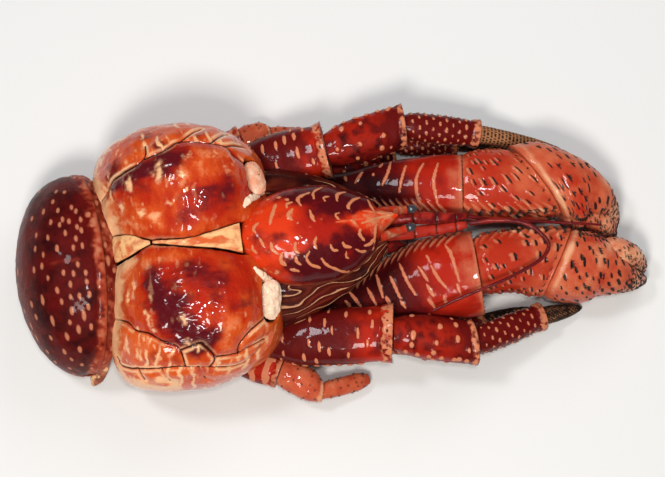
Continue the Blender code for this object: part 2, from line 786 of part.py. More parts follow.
def build_abdomen(domes, belly, hind, collection):
    """The tergites, the soft sac inside them and the tabs at their corners."""
    plates = [
        tergite("tergite_2", 68, 168, 0.0, "abdomen", collection, steps=9),
        tergite("tergite_3", 168, 204, 1.0, "abdomen", collection, steps=4),
        tergite("tergite_4", 204, 236, 2.0, "abdomen", collection, steps=4),
        tergite("tail_fan", 236, 285, 2.6, "belly", collection, steps=4),
    ]
    neck = tergite("tergite_1", 48, 68, 1.8, "abdomen", collection, steps=4)
    for plate in (*plates, neck):
        carve(plate, *domes.values(), belly, hind)
    sac = abdomen_core(collection)
    carve(sac, *domes.values(), belly)
    tabs = []
    for name in SIDES:
        tab = side_tab(name, collection)
        carve(tab, *plates, neck, *domes.values(), sac, belly)
        tabs.append(tab)
    return plates, neck, sac, tabs


def build_claws(flanks, belly, collection):
    """Both claws. The right one is the slimmer; the left one is shut."""
    right_merus = (
        (0.0, 6.5, 4.4), (0.14, 7.4, 5.6), (0.28, 8.8, 7.4, 0.4), (0.48, 13.9, 11.0, 1.7),
        (0.7, 17.6, 13.6, 2.2), (0.88, 18.4, 14.8, 1.1), (1.0, 17.9, 14.4, 0.3),
    )
    right_carpus = (
        (0.0, 11.8, 12.4, 2.8), (0.14, 12.9, 14.0, 4.0), (0.5, 13.4, 14.0, 4.2), (0.8, 14.2, 13.4, 2.8),
        (1.0, 13.6, 12.2, 1.6),
    )
    left_merus = (
        (0.0, 6.0, 4.4), (0.14, 6.4, 5.6), (0.28, 7.2, 7.2), (0.5, 10.6, 10.4), (0.75, 12.9, 12.6, -0.6),
        (0.92, 14.0, 13.2, -1.2), (1.0, 13.8, 12.6, -1.4),
    )
    left_carpus = (
        (0.0, 13.5, 12.0, -1.1), (0.16, 14.7, 13.2, -1.1), (0.5, 15.7, 13.8, -1.1), (0.8, 15.4, 13.4, -0.8),
        (1.0, 13.6, 12.2, -0.6),
    )
    right_wrist = (0.857, -0.515, -0.05)
    left_wrist = (0.874, 0.485, -0.05)
    arms = claw_arm("claw_right", (
        (26.0, -28.6, 8.0), (97.4, -21.6, 18.6), (130.0, -22.8, 17.6),
    ), right_wrist, right_merus, right_carpus, collection)
    arms += claw_arm("claw_left", (
        (26.0, 25.6, 8.0), (96.3, 17.6, 18.6), (127.5, 14.1, 17.6),
    ), left_wrist, left_merus, left_carpus, collection)
    hands = [
        claw_hand("claw_right", right_wrist, (
            (130.96, -21.2, 17.6, 14.4, 12.4), (136.0, -22.9, 16.6, 15.6, 14.6),
            (142.0, -24.4, 15.4, 15.4, 15.0), (148.5, -25.9, 14.4, 13.5, 13.6),
            (154.0, -28.6, 13.4, 9.6, 11.4), (159.0, -30.4, 11.4, 6.6, 8.4),
            (164.0, -31.4, 8.2, 4.4, 5.6), (168.0, -31.6, 4.6, 2.0, 2.8), (169.6, -31.4, 2.6, 0.7, 0.9),
        ), collection),
        claw_hand("claw_left", left_wrist, (
            (127.83, 13.5, 17.6, 15.2, 13.0), (133.5, 12.2, 16.8, 16.5, 15.0), (140.5, 9.6, 15.6, 16.6, 15.4),
            (146.5, 7.4, 14.4, 14.0, 14.0), (151.0, 4.8, 13.2, 10.4, 11.8), (155.0, 1.4, 11.0, 7.0, 8.6),
            (158.0, -2.4, 8.0, 4.4, 5.8), (159.8, -6.0, 4.6, 2.0, 2.8), (160.2, -8.0, 2.6, 0.7, 0.9),
        ), collection),
    ]
    fingers = [
        finger("claw_right_finger", (
            (152.5, -18.0, 18.6, 4.6, 6.0), (156.5, -18.4, 18.0, 6.0, 7.6), (161.5, -19.8, 16.0, 5.6, 7.0),
            (166.5, -22.2, 12.0, 4.2, 5.2), (169.8, -24.8, 7.0, 2.4, 3.0), (170.2, -26.4, 3.4, 0.7, 0.9),
        ), "claw", collection),
        finger("claw_left_finger", (
            (145.0, -2.2, 18.4, 4.4, 6.0), (149.0, -3.6, 17.6, 5.6, 7.4), (153.0, -6.0, 15.2, 5.0, 6.4),
            (156.4, -9.0, 11.2, 3.8, 4.8), (158.4, -11.4, 6.6, 2.2, 2.8), (158.8, -12.6, 3.4, 0.7, 0.9),
        ), "claw", collection),
    ]
    studded(fingers[0], line_of_spots((161.0, -24.0, 13.0), (168.6, -27.0, 5.0), 3, 1.3, 1.6))
    studded(hands[0], [
        *line_of_spots((158.5, -24.5, 12.0), (166.6, -28.6, 4.6), 3, 1.4, 1.6),
        *line_of_spots((138.0, -12.0, 27.0), (149.0, -14.0, 25.0), 3, 1.2, 1.3),
        *line_of_spots((133.0, -19.0, 34.0), (151.0, -22.0, 30.0), 4, 1.1, 1.1),
        *line_of_spots((129.0, -28.0, 34.0), (155.0, -30.0, 28.0), 5, 1.1, 1.1),
        *line_of_spots((131.0, -37.0, 26.0), (152.0, -38.0, 22.0), 4, 1.1, 1.2),
    ])
    studded(hands[1], [
        *line_of_spots((135.0, 26.0, 27.0), (152.0, 16.0, 24.0), 4, 1.2, 1.3),
        *line_of_spots((131.0, 20.0, 34.0), (153.0, 9.0, 28.0), 5, 1.1, 1.1),
        *line_of_spots((132.0, 11.0, 34.0), (150.0, 2.0, 30.0), 4, 1.1, 1.1),
        *line_of_spots((135.0, 1.0, 28.0), (144.0, -3.0, 26.0), 3, 1.2, 1.3),
    ])
    carve(fingers[0], hands[0])
    carve(fingers[1], hands[1])
    studded(arms[0], line_of_spots((62.0, -14.0, 28.0), (94.0, -6.0, 30.0), 8, 1.1, 1.5))
    studded(arms[2], line_of_spots((56.0, 13.0, 26.0), (92.0, 7.0, 30.0), 8, 1.0, 1.5))
    studded(arms[1], line_of_spots((103.0, -7.0, 30.0), (131.0, -11.0, 29.0), 5, 1.2, 1.5))
    studded(arms[3], line_of_spots((101.0, 4.0, 30.0), (128.0, 2.0, 29.0), 5, 1.2, 1.5))
    carve(arms[0], flanks["right"], belly)
    carve(arms[2], flanks["left"], belly)
    return {"right": arms[0], "left": arms[2]}


def build_legs(domes, flanks, belly, arms, collection):
    """Three pairs of walking legs, folded forward along the body."""
    second = {
        "right": (
            (2.0, -38.0, 15.0), (57.9, -42.7, 24.0), (91.3, -50.9, 20.0), (122.5, -42.0, 8.0),
            (141.5, -39.6, 1.0),
        ),
        "left": (
            (0.0, 37.0, 15.0), (40.5, 38.5, 25.0), (74.2, 45.0, 24.0), (106.1, 38.9, 17.0),
            (143.9, 29.5, 2.4),
        ),
    }
    fourth = {
        "right": ((-16.0, -41.0, 7.0), (9.2, -50.9, 11.5), (25.3, -61.7, 9.0), (45.9, -58.4, 3.0)),
        "left": ((-16.0, 42.0, 7.0), (5.0, 50.5, 8.5), (17.0, 52.5, 6.5), (34.0, 50.6, 2.6)),
    }
    third_x = (8.0, 42.0, 70.0, 98.0, 120.0)
    third_y = {"right": (36.0, 38.5, 44.0, 40.5, 37.0), "left": (33.0, 34.0, 42.0, 38.5, 34.0)}
    third_z = (5.4, 5.9, 5.6, 4.6, 1.0)
    for name, side in SIDES.items():
        upper = walking_leg(f"leg_2_{name}", second[name], (1.0, 1.0), collection)
        third = [(x, side * y, z) for x, y, z in zip(third_x, third_y[name], third_z)]
        lower = walking_leg(f"leg_3_{name}", third, (0.84, 0.66), collection, sides=10)
        hind = small_leg(f"leg_4_{name}", fourth[name], collection)
        carve(lower[0], belly, arms[name])
        carve(lower[1], arms[name])
        carve(hind[0], domes[name], belly, lower[0])
        carve(hind[1], lower[0])
        carve(upper[0], flanks[name], domes[name], belly, arms[name], lower[0], hind[0], hind[1])
        carve(upper[1], arms[name])
        for segment, count, outward in ((upper[1], 4, 7.0), (upper[2], 5, 3.6)):
            start, end = segment["start"], segment["end"]
            first = Vector(start) * 0.85 + Vector(end) * 0.15
            last = Vector(start) * 0.1 + Vector(end) * 0.9
            lift = Vector((0, side * outward, 9))
            studded(segment, line_of_spots(first + lift, last + lift, count, 1.1, 1.2))


def eyeball(name, centre, way, stalk, collection):
    """The dark egg of an eye, cut to sit on the end of its stalk."""
    shape = bmesh.new()
    turn = Vector((0, 0, 1)).rotation_difference(way).to_matrix().to_4x4()
    stretch = Matrix.Diagonal((2.15 * MM, 2.15 * MM, 2.6 * MM, 1.0))
    bmesh.ops.create_uvsphere(
        shape, u_segments=12, v_segments=8, radius=1.0,
        matrix=Matrix.Translation(centre * MM) @ turn @ stretch)
    mesh = bpy.data.meshes.new(name)
    shape.to_mesh(mesh)
    shape.free()
    eye = new_object(name, mesh, "eye", collection)
    carve(eye, stalk)


def build_face(shield, flanks, collection):
    """Eyes on their stalks, the mouthparts, the feelers' stems and the feelers."""
    looks = {
        "left": ((57.2, 5.6, 43.0), (71.6, 5.8, 40.0)),
        "right": ((57.1, -4.6, 42.0), (70.1, -1.9, 40.0)),
    }
    for name, (root, end) in looks.items():
        root, end = Vector(root), Vector(end)
        points = [root + (end - root) * t for t in (0.0, 0.35, 0.7, 0.86)]
        stalk = tube(f"eyestalk_{name}", points, (2.0, 2.2, 1.9, 1.7), "plate", collection, sides=10)
        carve(stalk, shield, flanks[name])
        eyeball(f"eye_{name}", root + (end - root) * 1.03, (end - root).normalized(), stalk, collection)
    for name, side in SIDES.items():
        points = [
            (48.0, side * 5.0, 20.0), (56.0, side * 5.2, 19.0), (64.0, side * 4.4, 15.0),
            (69.0, side * 3.6, 9.0),
        ]
        mouth = tube(f"mouthpart_{name}", points, (2.8, 3.2, 2.7, 1.4), "plate", collection, sides=10)
        carve(mouth, flanks[name])
    stems = {
        "left": (
            (60.35, 3.7, 34.4), (72.0, 3.0, 34.2), (82.0, 1.7, 33.4), (89.0, 1.4, 32.4), (94.7, 1.5, 31.0),
        ),
        "right": (
            (60.35, -2.9, 32.8), (70.0, -2.8, 32.2), (80.0, -2.7, 31.4), (90.0, -2.6, 31.8),
            (94.6, -2.4, 32.4),
        ),
    }
    for name, points in stems.items():
        tube(f"feeler_stem_{name}", points, (1.8, 2.3, 2.1, 1.7, 1.2), "plate", collection, sides=10)
    right = smooth_path((
        (95.4, -2.3, 33.0), (107.9, -3.1, 36.6), (117.9, -5.9, 37.2), (123.9, -11.0, 37.2),
        (126.5, -16.4, 37.0), (123.2, -21.1, 37.0), (115.1, -25.1, 37.0), (103.7, -29.0, 37.0),
        (86.8, -33.3, 35.5), (74.8, -36.7, 32.0),
    ), 3)
    left = smooth_path((
        (95.6, 1.3, 31.2), (106.0, -1.6, 30.0), (119.0, -3.4, 29.2),
        (131.0, -5.6, 28.8), (142.0, -7.6, 29.0), (151.0, -9.4, 29.2),
    ), 3)
    feeler("feeler_right", right, (0, 9, 18, 27), 1.05, 0.6, collection)
    feeler("feeler_left", left, (0, 15), 1.0, 0.5, collection)


def feeler(name, path, breaks, thick, thin, collection):
    """A tapering feeler in lengths that meet end to end at the breaks."""
    for number, (first, last) in enumerate(zip(breaks, breaks[1:]), start=1):
        points = list(path[first:last + 1])
        radii = [thick + (thin - thick) * k / (len(path) - 1) for k in range(first, last + 1)]
        if last < len(path) - 1:
            points[-1] = points[-1] + (points[-2] - points[-1]).normalized() * GAP
        label = f"{name}_{number}" if len(breaks) > 2 else name
        made = rod(label, points, radii, collection, resolution=1)
        made.data.materials.append(shell_material("feeler"))
        made.data.shade_smooth()
        made.data.set_sharp_from_angle(angle=math.radians(40))


def main():
    clear_scene()
    collection = bpy.data.collections.new("coconut_crab")
    bpy.context.scene.collection.children.link(collection)
    shield, hind, domes, belly, flanks = build_body(collection)
    build_abdomen(domes, belly, hind, collection)
    arms = build_claws(flanks, belly, collection)
    build_legs(domes, flanks, belly, arms, collection)
    build_face(shield, flanks, collection)


main()
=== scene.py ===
"""Coconut crab, life size: wet, glossy shell with its markings, ridges and bristles."""

import math

import bmesh
import bpy
import numpy as np
from mathutils import Matrix, Vector
from mathutils.bvhtree import BVHTree


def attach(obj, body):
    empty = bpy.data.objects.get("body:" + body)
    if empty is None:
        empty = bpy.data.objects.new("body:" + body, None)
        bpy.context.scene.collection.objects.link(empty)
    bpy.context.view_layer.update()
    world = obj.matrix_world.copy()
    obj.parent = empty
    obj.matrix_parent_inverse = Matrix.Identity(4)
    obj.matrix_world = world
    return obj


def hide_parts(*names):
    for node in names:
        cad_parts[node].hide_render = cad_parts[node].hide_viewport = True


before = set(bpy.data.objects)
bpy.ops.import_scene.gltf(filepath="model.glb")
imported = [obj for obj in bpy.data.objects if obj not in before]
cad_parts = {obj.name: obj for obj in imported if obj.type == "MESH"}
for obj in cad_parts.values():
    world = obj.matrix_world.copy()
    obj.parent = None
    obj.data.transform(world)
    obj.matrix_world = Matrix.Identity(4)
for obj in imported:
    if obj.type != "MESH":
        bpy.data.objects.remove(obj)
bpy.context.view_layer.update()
MM = 0.001
SIDES = {"left": 1, "right": -1}

# Camera, floor and lights

AZIMUTH, ELEVATION, DISTANCE = math.radians(-7.5), math.radians(80.0), 0.80
LOOK_AT = Vector((0.03782, -0.00056, 0.030))
CAMERA_PLACE = LOOK_AT + DISTANCE * Vector((
    math.sin(AZIMUTH) * math.cos(ELEVATION),
    -math.cos(AZIMUTH) * math.cos(ELEVATION),
    math.sin(ELEVATION),
))
SENSOR_WIDTH, LENS = 36.0, 103.115
PHOTO_WIDTH, PHOTO_HEIGHT = 665, 477
# The close-ups of the photo in which places were read: their top left corner and enlargement.
CLOSE_UPS = {"shield": (230, 150, 8.253), "abdomen": (10, 120, 5.6)}
FLOOR_HALF_SIZE = 3.0


def aim_at_crab(thing, place):
    """Puts a camera or a light at its place, looking at the crab."""
    thing.location = place
    thing.rotation_euler = (LOOK_AT - thing.location).to_track_quat("-Z", "Y").to_euler()
    bpy.context.scene.collection.objects.link(thing)


def place_camera():
    """The photograph's view: almost straight down, the head to the right."""
    data = bpy.data.cameras.new("camera")
    data.sensor_width = SENSOR_WIDTH
    data.lens = LENS
    camera = bpy.data.objects.new("camera", data)
    aim_at_crab(camera, CAMERA_PLACE)
    bpy.context.scene.camera = camera


def seen_on(close_up, pixels, *nodes):
    """Where the lines of sight through a close-up's pixels meet solids, to a tenth of a millimetre."""
    left, top, enlarged = CLOSE_UPS[close_up]
    forward = (LOOK_AT - CAMERA_PLACE).normalized()
    rightward = forward.cross(Vector((0, 0, 1))).normalized()
    downward = forward.cross(rightward)
    pixel = SENSOR_WIDTH / LENS / PHOTO_WIDTH
    graph = bpy.context.evaluated_depsgraph_get()
    solids = [BVHTree.FromObject(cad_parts[node], graph) for node in nodes]
    spots = []
    for u, v in pixels:
        across = left + u / enlarged - PHOTO_WIDTH / 2
        down = top + v / enlarged - PHOTO_HEIGHT / 2
        sight = (forward + (rightward * across + downward * down) * pixel).normalized()
        hits = [solid.ray_cast(CAMERA_PLACE, sight) for solid in solids]
        nearest = min((hit for hit in hits if hit[0] is not None), key=lambda hit: hit[3])
        spots.append(tuple(round(value / MM, 1) for value in nearest[0]))
    return spots


def soft_light(name, place, width, power, colour=(1.0, 1.0, 1.0), mirrored=True):
    """A square softbox that looks at the crab."""
    data = bpy.data.lights.new(name, "AREA")
    data.size = width
    data.energy = power
    data.color = colour
    light = bpy.data.objects.new(name, data)
    light.visible_glossy = mirrored
    aim_at_crab(light, place)


def pale_floor():
    """The plain floor that the crab rests on."""
    mesh = bpy.data.meshes.new("floor")
    shape = bmesh.new()
    bmesh.ops.create_grid(shape, x_segments=1, y_segments=1, size=FLOOR_HALF_SIZE)
    shape.to_mesh(mesh)
    shape.free()
    floor = bpy.data.objects.new("floor", mesh)
    bpy.context.scene.collection.objects.link(floor)
    paper = bpy.data.materials.new("floor_paper")
    paper.use_nodes = True
    shader = paper.node_tree.nodes["Principled BSDF"]
    shader.inputs["Base Color"].default_value = (0.66, 0.65, 0.63, 1.0)
    shader.inputs["Roughness"].default_value = 0.8
    mesh.materials.append(paper)


def light_studio():
    """A pale floor, an even sky that the wet shell doesn't mirror, and four softboxes."""
    pale_floor()
    world = bpy.data.worlds.new("studio")
    world.use_nodes = True
    sky = world.node_tree.nodes["Background"]
    sky.inputs["Color"].default_value = (0.92, 0.95, 1.0, 1.0)
    sky.inputs["Strength"].default_value = 0.20
    bpy.context.scene.world = world
    world.cycles_visibility.glossy = False
    soft_light("key", (-0.12, -0.40, 0.78), 0.20, 5.6, (1.0, 0.97, 0.93))
    soft_light("fill", (0.45, 0.50, 0.55), 0.60, 2.6, (0.93, 0.96, 1.0), False)
    soft_light("glint", (0.06, -0.10, 1.05), 0.07, 2.4)
    soft_light("sheen", (-0.35, 0.24, 0.87), 0.15, 2.6, (0.92, 0.95, 1.0))
    bpy.context.scene.view_settings.view_transform = "Standard"


# Numbers over a surface


def soft_step(low, high, value):
    """0 below low, 1 above high and a smooth rise between them."""
    share = np.clip((value - low) / (high - low), 0.0, 1.0)
    return share * share * (3 - 2 * share)


def lattice_noise(points, size, seed):
    """Smooth noise from -1 to 1 whose bumps are about this many millimetres wide."""
    places = np.asarray(points) / size + seed * 17.31
    corner = np.floor(places).astype(np.int64)
    share = places - corner
    share = share * share * (3 - 2 * share)
    total = np.zeros(places.shape[:-1])
    for dx in (0, 1):
        for dy in (0, 1):
            for dz in (0, 1):
                x, y, z = corner[..., 0] + dx, corner[..., 1] + dy, corner[..., 2] + dz
                mixed = (x * 73856093) ^ (y * 19349663) ^ (z * 83492791) ^ (seed * 2654435)
                mixed = (mixed ^ (mixed >> 13)) * 1274126177
                value = ((mixed ^ (mixed >> 16)) & 0xFFFF) / 32767.5 - 1.0
                weight = (
                    (share[..., 0] if dx else 1 - share[..., 0])
                    * (share[..., 1] if dy else 1 - share[..., 1])
                    * (share[..., 2] if dz else 1 - share[..., 2]))
                total += value * weight
    return total


def layered_noise(points, size, seed, layers=3):
    """Noise with finer and fainter noise on it."""
    total = np.zeros(np.asarray(points).shape[:-1])
    for k in range(layers):
        total += lattice_noise(points, size / 2 ** k, seed + k) / 2 ** k
    return total


def eased(stations, at):
    """The stations' values at places between them, on a curve that never overshoots."""
    table = np.array(stations, float)
    places, values = table[:, 0], table[:, 1:]
    step = np.diff(places)
    slope = np.diff(values, axis=0) / step[:, None]
    lean = np.zeros_like(values)
    lean[0], lean[-1] = slope[0], slope[-1]
    before, after = slope[:-1], slope[1:]
    same = before * after > 0
    lean[1:-1] = np.where(same, 2 * before * after / np.where(same, before + after, 1.0), 0.0)
    at = np.clip(np.asarray(at, float), places[0], places[-1])
    k = np.clip(np.searchsorted(places, at, side="right") - 1, 0, len(step) - 1)
    t = ((at - places[k]) / step[k])[..., None]
    h = step[k][..., None]
    return (
        (2 * t ** 3 - 3 * t ** 2 + 1) * values[k] + (t ** 3 - 2 * t ** 2 + t) * h * lean[k]
        + (3 * t ** 2 - 2 * t ** 3) * values[k + 1] + (t ** 3 - t ** 2) * h * lean[k + 1])


def curved(line, steps=5):
    """A smooth line through a few points."""
    points = [np.array(p, float) for p in line]
    if len(points) < 3:
        return points
    points = [2 * points[0] - points[1], *points, 2 * points[-1] - points[-2]]
    smooth = []
    for a, b, c, d in zip(points, points[1:], points[2:], points[3:]):
        for step in range(steps):
            t = step / steps
            smooth.append(0.5 * (
                2 * b + (c - a) * t + (2 * a - 5 * b + 4 * c - d) * t ** 2
                + (3 * b - a - 3 * c + d) * t ** 3))
    smooth.append(points[-2])
    return smooth


def reach_of(points, lines, taper=0.0):
    """How far each point is from the nearest line. A taper makes the lines' ends thinner."""
    flat = points.reshape(-1, 3)
    nearest = np.full(len(flat), 1e9)
    for line in lines:
        line = [np.array(p, float) for p in line]
        if len(line) == 1:
            nearest = np.minimum(nearest, np.linalg.norm(flat - line[0], axis=1))
            continue
        for k, (a, b) in enumerate(zip(line, line[1:])):
            way = b - a
            share = np.clip((flat - a) @ way / max(way @ way, 1e-9), 0, 1)
            distance = np.linalg.norm(flat - a - share[:, None] * way, axis=1)
            if taper:
                along = (k + share) / (len(line) - 1)
                distance = distance / (1 - taper + taper * np.sin(math.pi * along) ** 0.6)
            nearest = np.minimum(nearest, distance)
    return nearest.reshape(points.shape[:-1])


def painted(points, lines, half_width, taper=0.4, wobble=0.25, seed=3, edge=(0.72, 1.25)):
    """A mask of brush strokes that lie on the surface."""
    distance = reach_of(points, [curved(line) for line in lines], taper)
    distance = distance + wobble * half_width * layered_noise(points, 1.6, seed)
    return 1 - soft_step(edge[0] * half_width, edge[1] * half_width, distance)


# Surfaces made of rings

MASKS = ("warm", "dark", "pale", "seam")
CAP_SHARES = (0.93, 0.8, 0.55, 0.25)
JOINT_GAP = 0.15
WRIST_REACH = 26.0


class Skin:
    """A closed surface made of rings of points in millimetres, with masks for its material."""

    def __init__(self, rings, folded=False):
        self.rings = np.array(rings, float)
        self.folded = folded
        shape = self.rings.shape[:2]
        self.warm, self.dark, self.pale, self.seam = (np.zeros(shape) for _ in range(4))

    def outward(self):
        """The direction out of the surface at each point."""
        rings = self.rings
        along = np.gradient(rings, axis=0)
        around = np.roll(rings, -1, axis=1) - np.roll(rings, 1, axis=1)
        normal = np.cross(along, around)
        length = np.linalg.norm(normal, axis=2, keepdims=True)
        normal = normal / np.maximum(length, 1e-9)
        out = rings - rings.mean(axis=1, keepdims=True)
        middle = slice(len(rings) // 4, 3 * len(rings) // 4 + 1)
        return normal * (1.0 if np.sum(normal[middle] * out[middle]) > 0 else -1.0)

    def push(self, height):
        """Moves each point outward by its height in millimetres."""
        self.rings = self.rings + self.outward() * height[..., None]

    def closed(self, dish):
        """The rings with shrinking rings added at each end, sunk by dish at the last ring."""
        rings = [self.rings[0], *self.rings[1:]]
        way = self.rings[-1].mean(axis=0) - self.rings[-2].mean(axis=0)
        way = way / max(np.linalg.norm(way), 1e-9)
        for share in CAP_SHARES:
            first, last = self.rings[0], self.rings[-1]
            rings.insert(0, first.mean(axis=0) + (first - first.mean(axis=0)) * share)
            sunk = way * dish * (1 - share) ** 0.5
            rings.append(last.mean(axis=0) + (last - last.mean(axis=0)) * share - sunk)
        return np.array(rings)

    def piece(self, name, finish, slot, *nodes, dish=0.0):
        """The surface as an object that rides on the crab and stands for its CAD nodes."""
        self.rings[..., 2] = np.maximum(self.rings[..., 2], 0.0)
        caps = 0 if self.folded else len(CAP_SHARES)
        rings = self.rings if self.folded else self.closed(dish)
        rings[..., 2] = np.maximum(rings[..., 2], 0.0)
        rows, count = rings.shape[:2]
        points = rings.reshape(-1, 3)
        index = np.arange(rows * count).reshape(rows, count)
        near = np.roll(index, -1, axis=1)
        faces = np.stack([index[:-1], near[:-1], near[1:], index[1:]], axis=-1).reshape(-1, 4).tolist()
        poles = []
        for row in (index[0], index[-1]):
            if self.folded:
                half = list(zip(row[:count // 2].tolist(), row[::-1].tolist()))
                faces += [(a, c, d, b) for (a, b), (c, d) in zip(half, half[1:])]
                continue
            pole = rows * count + len(poles)
            poles.append(points[row].mean(axis=0))
            faces += [(int(row[k]), int(row[(k + 1) % count]), pole) for k in range(count)]
        if poles:
            points = np.concatenate([points, np.array(poles)])
        mesh = bpy.data.meshes.new(name)
        mesh.from_pydata((points * MM).tolist(), [], faces)
        shape = bmesh.new()
        shape.from_mesh(mesh)
        bmesh.ops.recalc_face_normals(shape, faces=shape.faces)
        if shape.calc_volume(signed=True) < 0:
            bmesh.ops.reverse_faces(shape, faces=shape.faces)
        shape.to_mesh(mesh)
        shape.free()
        for label in MASKS:
            mask = np.clip(getattr(self, label), 0, 1)
            ends = [mask[0].mean(), mask[-1].mean()][:len(poles)]
            mask = np.pad(mask, ((caps, caps), (0, 0)), mode="edge").reshape(-1)
            mask = np.concatenate([mask, ends])
            layer = mesh.attributes.new(label, "FLOAT", "POINT")
            layer.data.foreach_set("value", mask.astype(np.float32))
        mesh.shade_smooth()
        mesh.materials.append(finish)
        return settle_piece(name, mesh, slot, *nodes)


def settle_piece(name, mesh, slot, *nodes):
    """Links a mesh as a piece that rides on the crab and stands for its CAD nodes."""
    obj = bpy.data.objects.new(name, mesh)
    bpy.context.scene.collection.objects.link(obj)
    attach(obj, "root")
    if nodes:
        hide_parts(*nodes)
    return obj


def unit(vector):
    """The vector at length one."""
    return np.asarray(vector, float) / np.linalg.norm(vector)


def ring_angles(count):
    """Angles that are evenly spread round a ring, half a step off zero."""
    return 2 * math.pi * (np.arange(count) + 0.5) / count


def oval(angles, power):
    """Across and up of a superellipse of size one."""
    c, s = np.cos(angles), np.sin(angles)
    return np.sign(c) * np.abs(c) ** (2 / power), np.sign(s) * np.abs(s) ** (2 / power)


class Limb(Skin):
    """One limb segment between two joint planes, with its share along and its angle around.

    A station is (share, half width, half height) and may end with a shift across.
    The angle is 0 on the animal's left, 90 degrees on top and 270 below.
    """

    def __init__(self, start, end, start_normal, end_normal, stations, step=0.55, power=2.3):
        start, end = np.array(start, float), np.array(end, float)
        length = np.linalg.norm(end - start)
        along = (end - start) / length
        across = unit(np.cross((0, 0, 1), along))
        up = np.cross(along, across)
        widest = max(s[1] for s in stations)
        rows = int(length / step) + 2
        count = int(2 * math.pi * widest * 0.9 / step / 2) * 2
        self.share = np.linspace(0, 1, rows)[:, None] * np.ones((1, count))
        self.angle = ring_angles(count)[None, :] * np.ones((rows, 1))
        sizes = eased([(*s, 0.0) if len(s) == 3 else s for s in stations], self.share[:, 0])
        a, b = oval(self.angle, power)
        points = (
            start + along * (self.share * length)[..., None]
            + across * (a * sizes[:, :1] + sizes[:, 2:])[..., None] + up * (b * sizes[:, 1:2])[..., None])
        reach = 2.2 * sizes[:, :2].max(axis=1)[:, None]
        for away, normal, middle, sign in (
            (self.share * length, start_normal, start, 1), ((1 - self.share) * length, end_normal, end, -1),
        ):
            normal = unit(normal)
            plane = middle + normal * JOINT_GAP * sign
            lean = ((plane - points) @ normal) / (along @ normal)
            straight = (middle - points) @ along
            weight = np.clip(1 - away / reach, 0, 1)
            points = points + along * ((lean - straight) * weight)[..., None]
        self.length = length
        self.radius = sizes[:, :2].mean(axis=1)[:, None]
        super().__init__(points)

    def spots(self, places, long, wide, lean=0.0):
        """A mask of ovals, slanted by lean. A place is (share, degrees around, size)."""
        nearest = np.full(self.share.shape, 9.0)
        for share, degrees, size in places:
            turn = (self.angle - math.radians(degrees) + math.pi) % (2 * math.pi) - math.pi
            sideways = turn * self.radius
            forward = (self.share - share) * self.length - lean * sideways
            away = np.hypot(forward / (long * size), sideways / (wide * size))
            nearest = np.minimum(nearest, away)
        return 1 - soft_step(0.6, 1.25, nearest + 0.15 * lattice_noise(self.rings, 1.2, 5))


class Spindle(Skin):
    """A bent, tapering form. A station is (x, y, z, half width, half height)."""

    def __init__(self, stations, step=0.55, power=2.2, plane_normal=None):
        table = np.array(stations, float)
        lengths = np.r_[0, np.cumsum(np.linalg.norm(np.diff(table[:, :3], axis=0), axis=1))]
        length = lengths[-1]
        rows = max(int(length / step) + 2, 6)
        count = max(int(2 * math.pi * table[:, 3].max() * 0.9 / step / 2) * 2, 12)
        share = np.linspace(0, 1, rows)
        values = eased(np.c_[lengths / length, table], share)
        centre = values[:, :3]
        along = np.gradient(centre, axis=0)
        along = along / np.linalg.norm(along, axis=1, keepdims=True)
        across = np.cross((0, 0, 1), along)
        across = across / np.linalg.norm(across, axis=1, keepdims=True)
        up = np.cross(along, across)
        self.share = share[:, None] * np.ones((1, count))
        self.angle = ring_angles(count)[None, :] * np.ones((rows, 1))
        a, b = oval(self.angle, power)
        points = (
            centre[:, None] + across[:, None] * (a * values[:, 3:4])[..., None]
            + up[:, None] * (b * values[:, 4:5])[..., None])
        if plane_normal is not None:
            normal = unit(plane_normal)
            plane = centre[0] + normal * JOINT_GAP
            weight = np.clip(1 - share * length / WRIST_REACH, 0, 1)[:, None]
            cosine = (along @ normal)[:, None]
            lean = ((plane - points) @ normal) / cosine
            straight = np.einsum("rck,rk->rc", centre[:1] - points + 0 * points, along)
            points = points + along[:, None] * ((lean - straight) * weight)[..., None]
        self.length = length
        self.radius = values[:, 3:5].mean(axis=1)[:, None]
        super().__init__(points)

    spots = Limb.spots


def scattered(count, seed, low=(0.0, 0.0), high=(1.0, 360.0), apart=0.1):
    """Places (share, degrees, size) thrown over a surface, no two of them close together."""
    chance = np.random.default_rng(seed)
    places = []
    for _ in range(count * 30):
        if len(places) == count:
            break
        share = chance.uniform(low[0], high[0])
        degrees = chance.uniform(low[1], high[1])
        size = chance.uniform(0.75, 1.25)
        if all(math.hypot(share - s, (degrees - d) / 200) > apart for s, d, _ in places):
            places.append((share, degrees, size))
    return places


# Materials


def node_group(name, kind, inputs, outputs):
    """An empty node group with its sockets."""
    tree = bpy.data.node_groups.new(name, kind)
    for direction, sockets in (("INPUT", inputs), ("OUTPUT", outputs)):
        for label, socket in sockets.items():
            tree.interface.new_socket(label, in_out=direction, socket_type="NodeSocket" + socket)
    return tree


def add_node(tree, kind, values=None, **traits):
    """A node with its traits, such as its operation, and values for its inputs."""
    node = tree.nodes.new(kind)
    for trait, choice in traits.items():
        setattr(node, trait, choice)
    for socket, value in (values or {}).items():
        node.inputs[socket].default_value = value
    return node


def wire(tree, *wires):
    """Links, each given as (from node, output, to node, input)."""
    for source, output, target, socket in wires:
        tree.links.new(source.outputs[output], target.inputs[socket])


